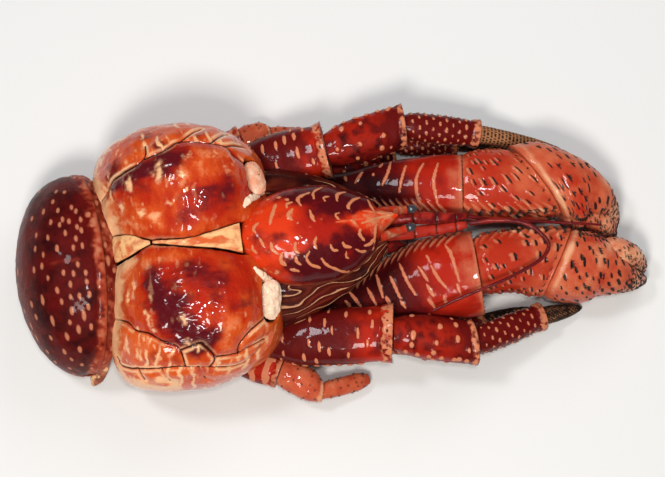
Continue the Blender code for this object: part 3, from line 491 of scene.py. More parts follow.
def mottle_group():
    """Blotches, speckles and fine pits that every piece of shell shows."""
    tree = node_group(
        "shell_mottle", "ShaderNodeTree", {"Size": "Float", "Pits": "Float"},
        {"Blotch": "Float", "Speckle": "Float", "Height": "Float"})
    inside, outside = add_node(tree, "NodeGroupInput"), add_node(tree, "NodeGroupOutput")
    place = add_node(tree, "ShaderNodeTexCoord")
    blotch = add_node(tree, "ShaderNodeTexNoise", {"Detail": 4.0})
    finer = add_node(tree, "ShaderNodeMath", {1: 7.0}, operation="MULTIPLY")
    speckle = add_node(tree, "ShaderNodeTexNoise", {"Detail": 3.0})
    cells = add_node(tree, "ShaderNodeTexVoronoi", feature="F1")
    pit_size = add_node(tree, "ShaderNodeMath", {1: 12.0}, operation="MULTIPLY")
    pit = add_node(tree, "ShaderNodeMapRange", {"From Min": 0.05, "From Max": 0.35})
    pit_depth = add_node(tree, "ShaderNodeMath", operation="MULTIPLY")
    height = add_node(tree, "ShaderNodeMath", operation="ADD")
    for texture in (blotch, speckle, cells):
        wire(tree, (place, "Object", texture, "Vector"))
    wire(
        tree, (inside, "Size", blotch, "Scale"), (inside, "Size", finer, 0), (finer, 0, speckle, "Scale"),
        (inside, "Size", pit_size, 0), (pit_size, 0, cells, "Scale"), (cells, "Distance", pit, "Value"),
        (pit, "Result", pit_depth, 0), (inside, "Pits", pit_depth, 1), (pit_depth, 0, height, 0),
        (speckle, "Fac", height, 1), (blotch, "Fac", outside, "Blotch"),
        (speckle, "Fac", outside, "Speckle"),
        (height, 0, outside, "Height"))
    return tree


def crisp_group():
    """Sharpens a mask that the mesh carries, and frays its edge with the speckle."""
    tree = node_group(
        "crisp_mark", "ShaderNodeTree", dict.fromkeys(("Mask", "Speckle", "Fray", "Softness"), "Float"),
        {"Mark": "Float"})
    inside, outside = add_node(tree, "NodeGroupInput"), add_node(tree, "NodeGroupOutput")
    centred = add_node(tree, "ShaderNodeMath", {1: 0.5}, operation="SUBTRACT")
    frayed = add_node(tree, "ShaderNodeMath", operation="MULTIPLY_ADD")
    low = add_node(tree, "ShaderNodeMath", {0: 0.5}, operation="SUBTRACT")
    high = add_node(tree, "ShaderNodeMath", {0: 0.5}, operation="ADD")
    ramp = add_node(tree, "ShaderNodeMapRange", interpolation_type="SMOOTHSTEP")
    wire(
        tree, (inside, "Speckle", centred, 0), (centred, 0, frayed, 0), (inside, "Fray", frayed, 1),
        (inside, "Mask", frayed, 2), (inside, "Softness", low, 1), (inside, "Softness", high, 1),
        (frayed, 0, ramp, "Value"), (low, 0, ramp, "From Min"), (high, 0, ramp, "From Max"),
        (ramp, "Result", outside, "Mark"))
    return tree


MOTTLE = mottle_group()
CRISP = crisp_group()


CREAM = (0.78, 0.42, 0.21)
BROWN = (0.028, 0.008, 0.004)
TAN = (0.52, 0.170, 0.075)
WET_FILM = {"Specular IOR Level": 0.05, "Coat Roughness": 0.07, "Coat IOR": 1.34}
RELIEF_DEPTH = 0.0006


def shell_finish(name, base, warm, dark, pale, *, rough=0.3, coat=0.6, size=180.0, pits=0.3,
                 bump=0.25, soft=(0.45, 0.4, 0.16), blotch=0.35, fray=0.5):
    """Shell whose base colour turns warm, dark or pale where the mesh's masks say so."""
    made = bpy.data.materials.new(name)
    made.use_nodes = True
    tree = made.node_tree
    shader = tree.nodes["Principled BSDF"]
    mottle = add_node(tree, "ShaderNodeGroup", node_tree=MOTTLE)
    mottle.inputs["Size"].default_value = size
    mottle.inputs["Pits"].default_value = pits
    shifted = add_node(tree, "ShaderNodeMath", {1: 0.5}, operation="SUBTRACT")
    wire(tree, (mottle, "Blotch", shifted, 0))
    colour = None
    for label, tint, softness, ragged, drift in (
        ("warm", warm, soft[0], 0.3, blotch), ("dark", dark, soft[1], 0.35, blotch),
        ("pale", pale, soft[2], fray, 0.0), ("seam", BROWN, 0.22, 0.12, 0.0),
    ):
        mask = add_node(tree, "ShaderNodeAttribute", attribute_name=label)
        drifted = add_node(tree, "ShaderNodeMath", {1: drift}, operation="MULTIPLY_ADD")
        crisp = add_node(tree, "ShaderNodeGroup", node_tree=CRISP)
        crisp.inputs["Fray"].default_value = ragged
        crisp.inputs["Softness"].default_value = softness
        mix = add_node(tree, "ShaderNodeMix", data_type="RGBA")
        mix.inputs["A"].default_value = (*base, 1.0)
        mix.inputs["B"].default_value = (*tint, 1.0)
        if colour:
            wire(tree, (colour, "Result", mix, "A"))
        wire(
            tree, (shifted, 0, drifted, 0), (mask, "Fac", drifted, 2), (drifted, 0, crisp, "Mask"),
            (mottle, "Speckle", crisp, "Speckle"), (crisp, "Mark", mix, "Factor"))
        colour = mix
    gloss = add_node(tree, "ShaderNodeMapRange", {
        "From Min": 0.3, "From Max": 0.7, "To Min": max(rough - 0.08, 0.05), "To Max": rough + 0.12})
    relief = add_node(tree, "ShaderNodeBump", {"Strength": bump, "Distance": RELIEF_DEPTH})
    wire(
        tree, (colour, "Result", shader, "Base Color"), (mottle, "Speckle", gloss, "Value"),
        (gloss, "Result", shader, "Roughness"), (mottle, "Height", relief, "Height"),
        (relief, "Normal", shader, "Normal"))
    for socket, value in {**WET_FILM, "Coat Weight": coat}.items():
        shader.inputs[socket].default_value = value
    return made


FINISH = {
    "gill": shell_finish(
        "gill_cover_shell", (0.37, 0.015, 0.004), (0.58, 0.082, 0.012), (0.088, 0.005, 0.008), CREAM,
        rough=0.30, coat=0.8, size=150.0, pits=0.2, bump=0.5, soft=(0.48, 0.42, 0.48), fray=0.3),
    "shield": shell_finish(
        "shield_shell", (0.31, 0.009, 0.004), (0.58, 0.034, 0.006), (0.066, 0.003, 0.005), TAN,
        rough=0.34, coat=0.5, size=200.0, pits=0.25, bump=0.3, soft=(0.48, 0.46, 0.30), fray=0.35),
    "abdomen": shell_finish(
        "abdomen_shell", (0.100, 0.004, 0.003), (0.32, 0.042, 0.016), (0.024, 0.001, 0.002),
        (0.44, 0.145, 0.075),
        rough=0.42, coat=0.18, size=240.0, pits=0.6, bump=0.4, soft=(0.48, 0.48, 0.44), fray=0.3),
    "plate": shell_finish(
        "pale_plate_shell", (0.60, 0.215, 0.095), (0.56, 0.10, 0.025), (0.20, 0.03, 0.012),
        (0.80, 0.44, 0.19),
        rough=0.4, coat=0.3, size=260.0, pits=0.5, bump=0.4, soft=(0.45, 0.3, 0.42)),
    "wart": shell_finish(
        "warty_plate_shell", (0.70, 0.28, 0.16), (0.62, 0.17, 0.08), (0.16, 0.05, 0.03), (0.82, 0.60, 0.42),
        rough=0.3, coat=0.6, size=260.0, pits=0.4, bump=0.4, soft=(0.45, 0.3, 0.40)),
    "claw": shell_finish(
        "claw_shell", (0.38, 0.024, 0.008), (0.50, 0.096, 0.040), (0.020, 0.004, 0.003), (0.68, 0.32, 0.17),
        rough=0.34, coat=0.5, size=260.0, pits=0.5, bump=0.45, soft=(0.45, 0.3, 0.36)),
    "leg": shell_finish(
        "leg_shell", (0.110, 0.005, 0.004), (0.42, 0.016, 0.004), (0.032, 0.002, 0.003),
        (0.54, 0.175, 0.085),
        rough=0.34, coat=0.4, size=240.0, pits=0.35, bump=0.3, soft=(0.45, 0.4, 0.22)),
    "arm": shell_finish(
        "claw_arm_shell", (0.105, 0.004, 0.004), (0.36, 0.013, 0.004), (0.026, 0.002, 0.003),
        (0.52, 0.16, 0.080),
        rough=0.36, coat=0.32, size=240.0, pits=0.35, bump=0.3, soft=(0.62, 0.5, 0.40), fray=0.3),
    "toe": shell_finish(
        "toe_shell", (0.36, 0.155, 0.065), (0.30, 0.10, 0.04), (0.016, 0.010, 0.008), (0.52, 0.26, 0.13),
        rough=0.5, coat=0.1, size=300.0, pits=0.3, bump=0.3),
    "flank": shell_finish(
        "flank_shell", (0.075, 0.006, 0.004), (0.22, 0.03, 0.010), (0.022, 0.003, 0.003),
        (0.52, 0.24, 0.12),
        rough=0.45, coat=0.12, size=220.0, pits=0.2, bump=0.2),
    "belly": shell_finish(
        "belly_skin", (0.34, 0.12, 0.07), (0.42, 0.12, 0.06), (0.14, 0.03, 0.02), CREAM,
        rough=0.5, coat=0.1, size=200.0, pits=0.3, bump=0.35),
    "feeler": shell_finish(
        "feeler_shell", (0.10, 0.005, 0.006), (0.36, 0.022, 0.012), (0.035, 0.003, 0.003),
        (0.45, 0.16, 0.08),
        rough=0.28, coat=0.6, size=500.0, pits=0.2, bump=0.2),
}


def plain_finish(name, colour, rough, coat=0.0):
    """A finish for bristles and eyes, with a slight drift of its colour."""
    made = bpy.data.materials.new(name)
    made.use_nodes = True
    tree = made.node_tree
    shader = tree.nodes["Principled BSDF"]
    mottle = add_node(tree, "ShaderNodeGroup", node_tree=MOTTLE)
    mottle.inputs["Size"].default_value = 900.0
    mottle.inputs["Pits"].default_value = 0.2
    mix = add_node(tree, "ShaderNodeMix", data_type="RGBA")
    mix.inputs["A"].default_value = (*colour, 1.0)
    mix.inputs["B"].default_value = (*(min(c * 2.2 + 0.01, 1.0) for c in colour), 1.0)
    wire(tree, (mottle, "Blotch", mix, "Factor"), (mix, "Result", shader, "Base Color"))
    shader.inputs["Roughness"].default_value = rough
    shader.inputs["Coat Weight"].default_value = coat
    return made


BRISTLE = plain_finish("bristle", (0.006, 0.003, 0.002), 0.75)
EYE = plain_finish("eye", (0.020, 0.020, 0.024), 0.16, 0.8)


# The carapace

# One gill cover along the crab, all in millimetres: x, inner edge, outer edge, crown, valley at the
# midline, base.
GILL_STATIONS = (
    (-59.8, 25.0, 38.0, 30.0, 27.0, 22.0), (-58.6, 18.0, 43.0, 34.5, 31.0, 17.5),
    (-56.0, 10.0, 48.0, 40.0, 35.0, 14.0), (-52.0, 2.5, 51.2, 46.5, 41.0, 13.0),
    (-47.0, 0.15, 53.2, 52.5, 47.5, 13.0), (-35.0, 0.15, 55.6, 61.0, 56.0, 13.0),
    (-22.0, 0.15, 56.0, 64.0, 58.6, 13.0), (-9.0, 0.15, 53.2, 63.0, 57.4, 13.0),
    (0.0, 0.15, 49.4, 59.0, 54.0, 13.0), (5.5, 0.15, 45.6, 53.0, 50.0, 14.0),
    (9.5, 4.0, 41.6, 47.0, 45.0, 16.0), (12.2, 12.0, 37.0, 39.5, 38.0, 20.0),
    (13.0, 18.0, 33.0, 35.0, 34.0, 25.0),
)
# The seams between the plates of each gill cover in plan, as x and the distance out from the middle.
SEAMS = {
    "left": (
        ((-56.5, 26.0), (-52.4, 29.5), (-48.7, 32.0), (-43.0, 33.8), (-37.2, 36.0), (-34.4, 39.5),
         (-34.3, 44.0)),
        ((-34.8, 37.4), (-28.3, 39.1), (-23.6, 40.9), (-19.5, 43.2), (-8.9, 41.6), (-0.7, 39.4),
         (2.7, 35.3), (6.8, 31.0)),
        ((-20.0, 42.6), (-15.4, 46.2), (-10.5, 49.4)), ((-7.3, 41.0), (-3.2, 44.4), (0.2, 47.4)),
        ((-1.6, 39.4), (2.4, 40.4), (6.6, 40.8)),
    ),
    "right": (
        ((-56.4, 24.0), (-50.5, 27.4), (-47.6, 31.4), (-42.5, 33.8), (-37.4, 37.6), (-30.6, 41.6),
         (-29.0, 46.0), (-28.7, 49.6)),
        ((-57.3, 39.0), (-54.8, 43.6), (-48.8, 46.3), (-38.7, 48.4), (-29.2, 49.4), (-18.0, 50.9),
         (-7.5, 50.4), (-0.5, 47.6), (5.0, 42.6)),
        ((-29.6, 42.9), (-21.5, 41.3), (-19.5, 42.7), (-16.0, 47.4), (-18.6, 51.0)),
        ((-16.2, 47.2), (-7.3, 46.9), (-2.7, 45.2), (5.2, 41.2)),
        ((-6.3, 47.2), (-5.1, 43.4), (0.5, 38.0), (5.6, 33.6), (8.6, 30.0)),
        ((-49.0, 46.0), (-46.6, 50.6)), ((-38.8, 48.2), (-36.0, 53.4)), ((-23.4, 50.0), (-21.6, 54.4)),
    ),
}
# Pale brush marks on the gill covers: half the width and the points, which were read in the photo
# and carried to millimetres through the camera's view.
GILL_MARKS = {
    "left": (
        (0.9, ((-42.4, 43, 49.9), (-44.9, 39.4, 50.4))), (1.7, ((-28.7, 33.4, 61.2), (-29.4, 27.3, 61.9))),
        (1.6, ((-20.1, 27.7, 63.4), (-20.4, 26.6, 63.5))), (1.1, ((-17.1, 36, 61.1), (-17.7, 34, 62))),
        (1.4, ((-6.3, 36.3, 58.5), (-6.4, 34.6, 59.3))), (1.9, ((-41, 29.7, 56.1), (-41.4, 24.8, 56.3))),
        (1.0, ((-50.4, 27.7, 48), (-50.2, 23.8, 48.5))), (1.8, ((-46.5, 20.2, 52.7), (-46.7, 18.8, 52.5))),
        (1.6, ((-38, 15.5, 58.1), (-38.2, 14.4, 57.8))), (1.2, ((-26.5, 17.2, 62.5), (-26.6, 16.3, 62.3))),
        (0.9, ((-18.6, 21.8, 63.6), (-18.9, 20.8, 63.6))),
        (0.9, ((-49.4, 36.1, 47.4), (-50.5, 33.3, 46.9))), (0.8, ((-3.9, 31.7, 59.1), (-1.5, 27.3, 59))),
        (0.7, ((-33.9, 39.4, 57.4), (-38.8, 35.8, 56.1))),
    ),
    "right": (
        (0.7, ((-53.4, -15.4, 42.9), (-53.5, -20.7, 43.7))),
        (1.0, ((-47.8, -15.8, 50.9), (-48.2, -19.4, 50.8))),
        (1.0, ((-44.5, -10.6, 52.6), (-44.9, -15.1, 53.2))),
        (0.8, ((-38.2, -18.2, 58.4), (-38.3, -21.9, 58.6))),
        (1.3, ((-40.9, -24.2, 56.7), (-39.9, -28.7, 57), (-39, -33.2, 56.9))),
        (0.7, ((-51.1, -34.3, 45.9), (-50.8, -39.6, 44.1))),
        (1.1, ((-45.8, -36.7, 50.8), (-45.7, -42.9, 47.5))),
        (0.9, ((-41.9, -34.3, 53.8), (-41.4, -36.9, 53.9))),
        (0.9, ((-41.3, -44.5, 49.6), (-39.9, -48, 46.3))),
        (0.9, ((-46, -30.3, 52.5), (-45.8, -31.7, 51.8))),
        (0.9, ((-26.9, -29, 62.3), (-25.5, -32.8, 62.2))),
        (1.3, ((-25.5, -39.7, 59.5), (-25.4, -40.4, 59.3))),
    ),
}

# The seam between the gill covers: x and how far it strays to the left.
MIDLINE = (
    (-59.8, 0.0), (-56.0, 3.4), (-51.0, 4.1), (-45.0, 3.9), (-35.6, 2.8), (-16.0, 0.3), (0.0, 0.3),
    (14.0, 0.0),
)
# The plates on that seam: x, half width, height.
MIDLINE_PLATES = {
    "heart_plate": (
        (-35.4, 0.7, 57.0), (-30.0, 1.1, 58.2), (-23.0, 1.7, 59.4), (-16.0, 2.5, 59.9), (-8.0, 4.2, 58.8),
        (-3.0, 5.6, 57.0), (0.5, 6.6, 55.2)),
    "hind_plate": (
        (-53.9, 5.0, 41.2), (-52.4, 5.8, 43.4), (-49.6, 5.4, 46.6), (-45.0, 4.4, 51.0), (-40.5, 2.6, 54.4),
        (-36.4, 0.9, 56.6)),
}
# The warty plates: centre, half length, half width.
CORNER_PLATES = {"left": ((8.6, 26.0, 46.0), 7.6, 4.8), "right": ((9.0, -25.2, 46.0), 8.4, 4.9)}
# How many points of a gill cover's ring lie on each of its five stretches.
WALL, RISE, FALL, UNDER, FLOOR = 10, 70, 190, 60, 12
CROWN_SHARE, WIDEST_SHARE, SIDE_SHARE = 0.42, 0.31, 0.66


def gill_rings(side, step=0.42):
    """One gill cover's rings: up the wall on the midline, over the crown and down round the side."""
    rear, front = GILL_STATIONS[0][0], GILL_STATIONS[-1][0]
    x = np.linspace(rear, front, int((front - rear) / step))
    inner, outer, crown, valley, base = eased(GILL_STATIONS, x).T[:, :, None]
    for plate in MIDLINE_PLATES.values():
        table = np.array(plate)
        inside = (x >= table[0, 0] - 0.3) & (x <= table[-1, 0] + (0.5 if table[-1, 0] < -20 else 99))
        edge = eased(plate, x)[:, :1] + 0.35
        inner = np.where(inside[:, None], np.maximum(inner, edge), inner)
    inner = inner + side * eased(MIDLINE, x)
    crown_y = inner + (outer - inner) * CROWN_SHARE
    widest = base + (crown - base) * WIDEST_SHARE
    side_y = outer * SIDE_SHARE
    u = np.linspace(0, 1, WALL, endpoint=False)[None, :]
    wall = (inner + 0 * u, base + (valley - base) * u)
    u = np.linspace(0, 1, RISE, endpoint=False)[None, :]
    climb = np.sin(math.pi / 2 * u) ** 0.8
    rise = (inner + (crown_y - inner) * u ** 1.15, valley + (crown - valley) * climb)
    u = np.linspace(0, 1, FALL, endpoint=False)[None, :] * math.pi / 2
    fall = (crown_y + (outer - crown_y) * np.sin(u) ** 0.92, widest + (crown - widest) * np.cos(u) ** 0.86)
    u = np.linspace(0, 1, UNDER)[None, :] * math.pi / 2
    under = (side_y + (outer - side_y) * np.cos(u), widest - (widest - base) * np.sin(u) ** 0.9)
    u = np.linspace(0, 1, FLOOR + 2)[None, 1:-1]
    floor = (side_y + (inner - side_y) * u, base + 0 * u)
    y, z = (np.concatenate(part, axis=1) for part in zip(wall, rise, fall, under, floor))
    return np.stack([x[:, None] + 0 * y, side * y, z], axis=2)


def lifted(lines, rings, side):
    """Lines given in plan, (x, y outward), raised to the top of a gill cover."""
    top = slice(WALL, WALL + RISE + FALL)
    raised = []
    for line in lines:
        points = []
        for x, y in [p[:2] for p in curved([(a, b, 0) for a, b in line], 6)]:
            row = int(np.argmin(np.abs(rings[:, 0, 0] - x)))
            outward, height = side * rings[row, top, 1], rings[row, top, 2]
            points.append((x, side * y, float(np.interp(y, outward, height))))
        raised.append(points)
    return raised


def blobs(x, y, places):
    """Soft round areas over the plan, each (x, y, radius along, radius across, strength)."""
    total = np.zeros(np.broadcast(x, y).shape)
    for cx, cy, rx, ry, strength in places:
        total = total + strength * np.exp(-((x - cx) / rx) ** 2 - ((y - cy) / ry) ** 2)
    return total


# Where the pale rim of a gill cover runs, in plan.
REAR_EDGE = (
    (-50.0, 1.0, 0), (-53.0, 4.0, 0), (-56.0, 10.0, 0), (-58.6, 18.0, 0), (-59.8, 25.0, 0),
    (-59.8, 38.0, 0), (-58.6, 43.0, 0), (-56.0, 48.0, 0), (-52.0, 51.2, 0), (-47.0, 53.2, 0),
    (-35.0, 55.6, 0),
)
# The line outside which the smaller side plates lie, in plan.
OUTER_ROW = {
    "left": ((-60, 24.0), (-56.5, 26.0), (-48.7, 32.0), (-37.2, 36.0), (-28.3, 39.1), (-19.5, 43.2),
        (-8.9, 41.6), (-0.7, 39.4), (6.8, 31.0), (14.0, 22.0)),
    "right": ((-60, 22.0), (-56.4, 24.0), (-47.6, 31.4), (-37.4, 37.6), (-30.6, 41.6), (-21.5, 41.5),
        (-16.0, 47.2), (-7.3, 46.9), (-5.1, 43.4), (0.5, 38.0), (8.6, 30.0), (14.0, 24.0)),
}
# Dark and glowing areas and swellings: x, distance out, radius along, radius across, strength.
GILL_DARK = {
    "left": (
        (-45, 30, 7, 5, 0.75), (-36, 32, 8, 5, 0.75), (-24, 34, 9, 7, 0.85), (-29, 42, 4, 2.5, 0.6),
        (-49, 39, 5, 4, 0.6), (-11, 18, 10, 6, 0.62), (-50, 32, 4, 5, 0.5), (-38, 24, 6, 4, 0.35),
        (-12, 45, 4, 3, 0.4), (-36, 48, 6, 3, 0.5), (-1, 24, 4, 7, 0.45), (-22, 10, 7, 4, 0.3)),
    "right": (
        (-37, 14, 5, 8, 0.75), (-33, 24, 8, 9, 0.85), (-27, 34, 8, 9, 0.9), (-21, 42, 7, 7, 0.8),
        (-20, 12, 11, 7, 0.62), (-8, 17, 8, 7, 0.4), (-13, 24, 7, 6, 0.4), (-2, 28, 5, 3, 0.7),
        (-38, 43, 5, 4, 0.5), (-13, 39, 4, 3, 0.5), (-44, 44, 4, 3, 0.45), (-44, 27, 3, 6, 0.3)),
}
GILL_GLOW = {
    "left": (
        (-42, 17, 9, 8, 0.7), (-31, 13, 9, 6, 0.8), (-25, 24, 8, 4, 0.5), (-10, 33, 7, 6, 0.55),
        (-52, 18, 5, 9, 0.6), (-16, 27, 6, 4, 0.4), (2, 30, 6, 6, 0.5)),
    "right": (
        (-46, 20, 6, 14, 0.75), (-42, 34, 6, 8, 0.5), (-7, 37, 6, 5, 0.8), (-45, 8, 8, 4, 0.6),
        (-30, 5, 12, 3, 0.6), (-10, 45, 6, 4, 0.6), (2, 34, 6, 8, 0.5)),
}
GILL_BULGES = {"left": ((-14, 24, 13, 11, 0.6), (-40, 30, 9, 9, 0.5)), "right": ((-10, 35, 7, 6, 1.0),)}
# The finished rings of each gill cover, for what is laid on it later.
gill_surface = {}


def corner_axes(name):
    """The directions along, across and out of a corner plate."""
    side = SIDES[name]
    normal = unit((0.50, side * 0.22, 0.84))
    along = np.array((-0.12, side, -0.18))
    along = unit(along - normal * (along @ normal))
    return along, np.cross(normal, along), normal


def sink_under_plate(skin, name):
    """Lowers a gill cover where its corner plate lies, and gives how near each point is to it."""
    (centre, long, wide), (along, across, normal) = CORNER_PLATES[name], corner_axes(name)
    away = skin.rings - np.array(centre)
    u, v, w = away @ along, away @ across, away @ normal
    size = (np.abs(u / (long + 0.3)) ** 2.6 + np.abs(v / (wide + 0.3)) ** 2.6) ** (1 / 2.6)
    share = (1 - soft_step(0.98, 1.16, size)) * (w > -2.0) * (w < 9)
    skin.rings = skin.rings - normal * ((w + 2.0) * share)[..., None]
    return np.where(w > -4, size, 9.0)


def gill_marks(name, rings):
    """The brush marks of one gill cover, each a bright heart in a faint halo."""
    marks = np.zeros(rings.shape[:2])
    for half_width, line in GILL_MARKS[name]:
        halo = painted(rings, [line], half_width * 2.6, 0.3, 0.5, 3, (0.0, 1.1))
        heart = painted(rings, [line], half_width, 0.5, 0.6, 3, (0.0, 1.5))
        marks = np.maximum(marks, 0.42 * halo + 0.62 * heart)
    return marks


def make_gill_cover(name):
    """One domed cover: seams, blotches, brush marks, a pale rim and a row of side plates."""
    side = SIDES[name]
    skin = Skin(gill_rings(side))
    rings = skin.rings
    x, y, z = rings[..., 0], side * rings[..., 1], rings[..., 2]
    away = reach_of(rings, lifted(SEAMS[name], rings, side))
    low = layered_noise(rings, 13, 2 if side > 0 else 9, 3)
    fine = layered_noise(rings * (1, 0.55, 1), 4.2, 21, 3)
    crease = 1 - np.abs(layered_noise(rings * (0.8, 1.3, 1), 5.5, 51, 2)) * 1.8
    marks = gill_marks(name, rings)
    top = soft_step(30, 44, z)
    column = np.arange(rings.shape[1])[None, :]
    on_top = (column >= WALL) & (column < WALL + RISE + FALL)
    from_middle = y - eased(MIDLINE, x[:, 0]) * side
    core, glow = blobs(x, y, GILL_DARK[name]), blobs(x, y, GILL_GLOW[name])
    row_edge = eased(OUTER_ROW[name], x[:, 0])
    outer_row = soft_step(-0.4, 0.8, y - row_edge)
    bulge = blobs(x, y, GILL_BULGES[name])
    skin.push(top * (
        0.8 * soft_step(0.2, 5.0, away) - 0.8 - 0.9 * np.exp(-(away / 0.5) ** 2)
        + 0.42 * low + 0.22 * fine
        + (0.8 if side < 0 else 0.3) * np.clip(core, 0, 1) * np.clip(crease, -0.6, 1)
        + 0.9 * bulge - 0.5 * np.exp(-(from_middle / 1.2) ** 2)))
    near_plate = sink_under_plate(skin, name)
    gill_surface[name] = skin.rings
    brim = reach_of(np.stack([x, y, 0 * x], axis=2), [REAR_EDGE])
    streak = layered_noise(rings * (0.25, 1.0, 0.6), 2.4, 33, 3)
    wide = 8.0 - 4.5 * soft_step(22, 40, y) if side > 0 else 7.0 - 4.0 * soft_step(30, 44, y)
    rim = 1 - soft_step(0.35 * wide, 1.5 * wide, brim + 2.0 * streak + 1.2 * low)
    rim = rim * (0.3 + 0.7 * soft_step(20, 38, z + 5 * low + 3 * streak))
    lip = np.exp(-((away - 1.2) / 0.8) ** 2) * soft_step(-0.6, 0.3, low + 0.4 * fine)
    front = soft_step(2.0, 10.0, x)
    bars = np.abs(((x + 0.35 * y + 1.4 * fine) / 5.2) % 1 - 0.5)
    bars = (1 - soft_step(0.06, 0.22, bars)) * soft_step(-0.3, 0.4, layered_noise(rings, 7, 61, 2))
    freckle = soft_step(0.45, 0.95, layered_noise(rings * (1, 0.5, 1), 2.2, 71, 2))
    skin.dark = (
        1.2 * core * (1 - 0.25 * outer_row) + 0.30 * layered_noise(rings, 5, 8) + 0.16 * streak
        - 0.8 * rim - 0.35 * glow - (0.04 if side > 0 else 0.12))
    skin.warm = 0.26 + 0.5 * rim + 0.45 * outer_row + 0.5 * glow + 0.25 * front - 0.3 * core + 0.35 * fine
    skin.pale = np.maximum.reduce([
        marks, 0.95 * rim, (0.35 + 0.45 * outer_row) * lip, 0.85 * bars * outer_row * (1 - front),
        0.5 * np.clip(glow, 0, 1) * soft_step(-0.3, 0.9, fine + 0.5 * streak) * (1.4 if side > 0 else 0.8),
        (0.25 + 0.3 * glow + 0.25 * outer_row) * freckle])
    skin.pale = np.maximum(skin.pale, 0.4 * np.exp(-((from_middle - 1.4) / 1.1) ** 2) * on_top)
    skin.seam = np.clip(0.5 + (0.34 - away) / 0.7, 0, 1)
    skin.seam = np.maximum(skin.seam, np.clip(0.5 + (0.5 - from_middle) / 0.9, 0, 1) * on_top)
    skin.seam = np.maximum(skin.seam, (1 - soft_step(1.0, 1.10, near_plate)))
    return skin.piece(f"gill_cover_{name}_shell", FINISH["gill"], "carapace", f"gill_cover_{name}")


# The shield as share of its length, half width, top.
SHIELD_LENGTH, SHIELD_END = 58.0, 1.13
SHIELD_STATIONS = (
    (0.0, 3.5, 52.0), (0.02, 8.0, 53.9), (0.06, 11.6, 54.9), (0.14, 15.6, 56.1), (0.26, 18.8, 56.9),
    (0.42, 20.6, 57.1), (0.60, 20.3, 56.1), (0.76, 17.4, 53.9), (0.88, 13.6, 51.9), (0.95, 10.6, 50.5),
    (0.985, 6.0, 49.1), (1.04, 3.4, 48.1), (1.13, 0.8, 47.3),
)
# The shield's light crescents: half the width in millimetres, and the line as read in the close-up.
CRESCENTS = (
    (0.7, ((235, 600), (195, 650), (215, 690))), (0.85, ((375, 455), (345, 540), (330, 610))),
    (0.85, ((515, 490), (480, 540), (510, 575))), (0.65, ((515, 435), (470, 450), (470, 480))),
    (0.7, ((655, 355), (560, 400), (585, 465))), (0.55, ((760, 313), (691, 350), (691, 405))),
    (0.75, ((660, 500), (680, 560), (700, 590))), (0.55, ((815, 385), (775, 395), (785, 425))),
    (0.7, ((950, 352), (885, 370), (885, 425))),
    (0.75, ((1070, 395), (1010, 420), (975, 465), (985, 485))),
    (0.55, ((900, 520), (870, 535), (895, 575))), (0.6, ((560, 600), (562, 606))),
    (0.6, ((580, 710), (582, 716))), (0.65, ((245, 730), (280, 800))),
    (0.65, ((185, 790), (190, 820), (220, 855))), (0.85, ((340, 770), (350, 820), (395, 860))),
    (0.85, ((430, 850), (415, 910), (460, 950))), (0.75, ((540, 765), (535, 820), (570, 850))),
    (0.7, ((545, 880), (550, 920), (585, 945))), (0.7, ((715, 715), (700, 770), (715, 815))),
    (0.7, ((655, 840), (630, 890), (670, 945), (745, 970))),
    (0.6, ((755, 895), (790, 945), (870, 985), (950, 1010), (1030, 990))),
    (0.7, ((830, 780), (850, 825), (890, 832))), (0.7, ((930, 760), (950, 795), (1000, 805))),
    (0.5, ((960, 840), (960, 880), (980, 895))), (0.6, ((1040, 820), (1080, 840), (1120, 835))),
    (0.8, ((1075, 655), (1070, 700), (1105, 745))), (0.7, ((1110, 790), (1160, 770), (1175, 740))),
    (0.6, ((385, 400), (417, 397))), (0.6, ((455, 409), (484, 414))), (0.45, ((130, 630), (133, 634))),
    (0.45, ((145, 730), (148, 735))), (0.45, ((215, 930), (218, 935))), (0.6, ((304, 416), (323, 416))),
    (0.6, ((500, 985), (570, 1000))), (0.6, ((375, 1020), (400, 1005))), (0.6, ((1000, 580), (1040, 610))),
)


def shield_rings():
    """The shield's rings: an arch over its width and a flat underside, narrowing to the rostrum."""
    share = np.linspace(0, SHIELD_END, 150)
    half_width, top = eased(SHIELD_STATIONS, share).T[:, :, None]
    x = SHIELD_LENGTH * share[:, None]
    lean = np.maximum(0.0, share - 0.8)[:, None] / 0.33 * 3.0
    edge = 40.7 + np.maximum(0.0, share - 0.9)[:, None] * 12
    turn = np.linspace(0, math.pi, 150)[None, :]
    y = half_width * np.cos(turn)
    z = edge + (top - edge) * np.sin(turn) ** 0.8
    flat = np.linspace(-0.99, 0.99, 40)[None, :]
    base = 38.5 + np.maximum(0.0, share - 0.95)[:, None] * 14
    y = np.concatenate([y, half_width * flat], axis=1) + lean
    z = np.concatenate([z, base + 0.8 * np.abs(flat) ** 8 + 0 * half_width], axis=1)
    return np.stack([x + 0 * y, y, z], axis=2)


def shield_marks(rings):
    """The shield's crescents; the height counts little, so that they wrap over its edge."""
    marks = np.zeros(rings.shape[:2])
    flat = np.array((1.0, 1.0, 0.15))
    for half, pixels in CRESCENTS:
        line = np.array(seen_on("shield", pixels, "head_shield")) * flat
        marks = np.maximum(marks, painted(rings * flat, [line], half * 0.95, 0.5, 0.3))
    return marks


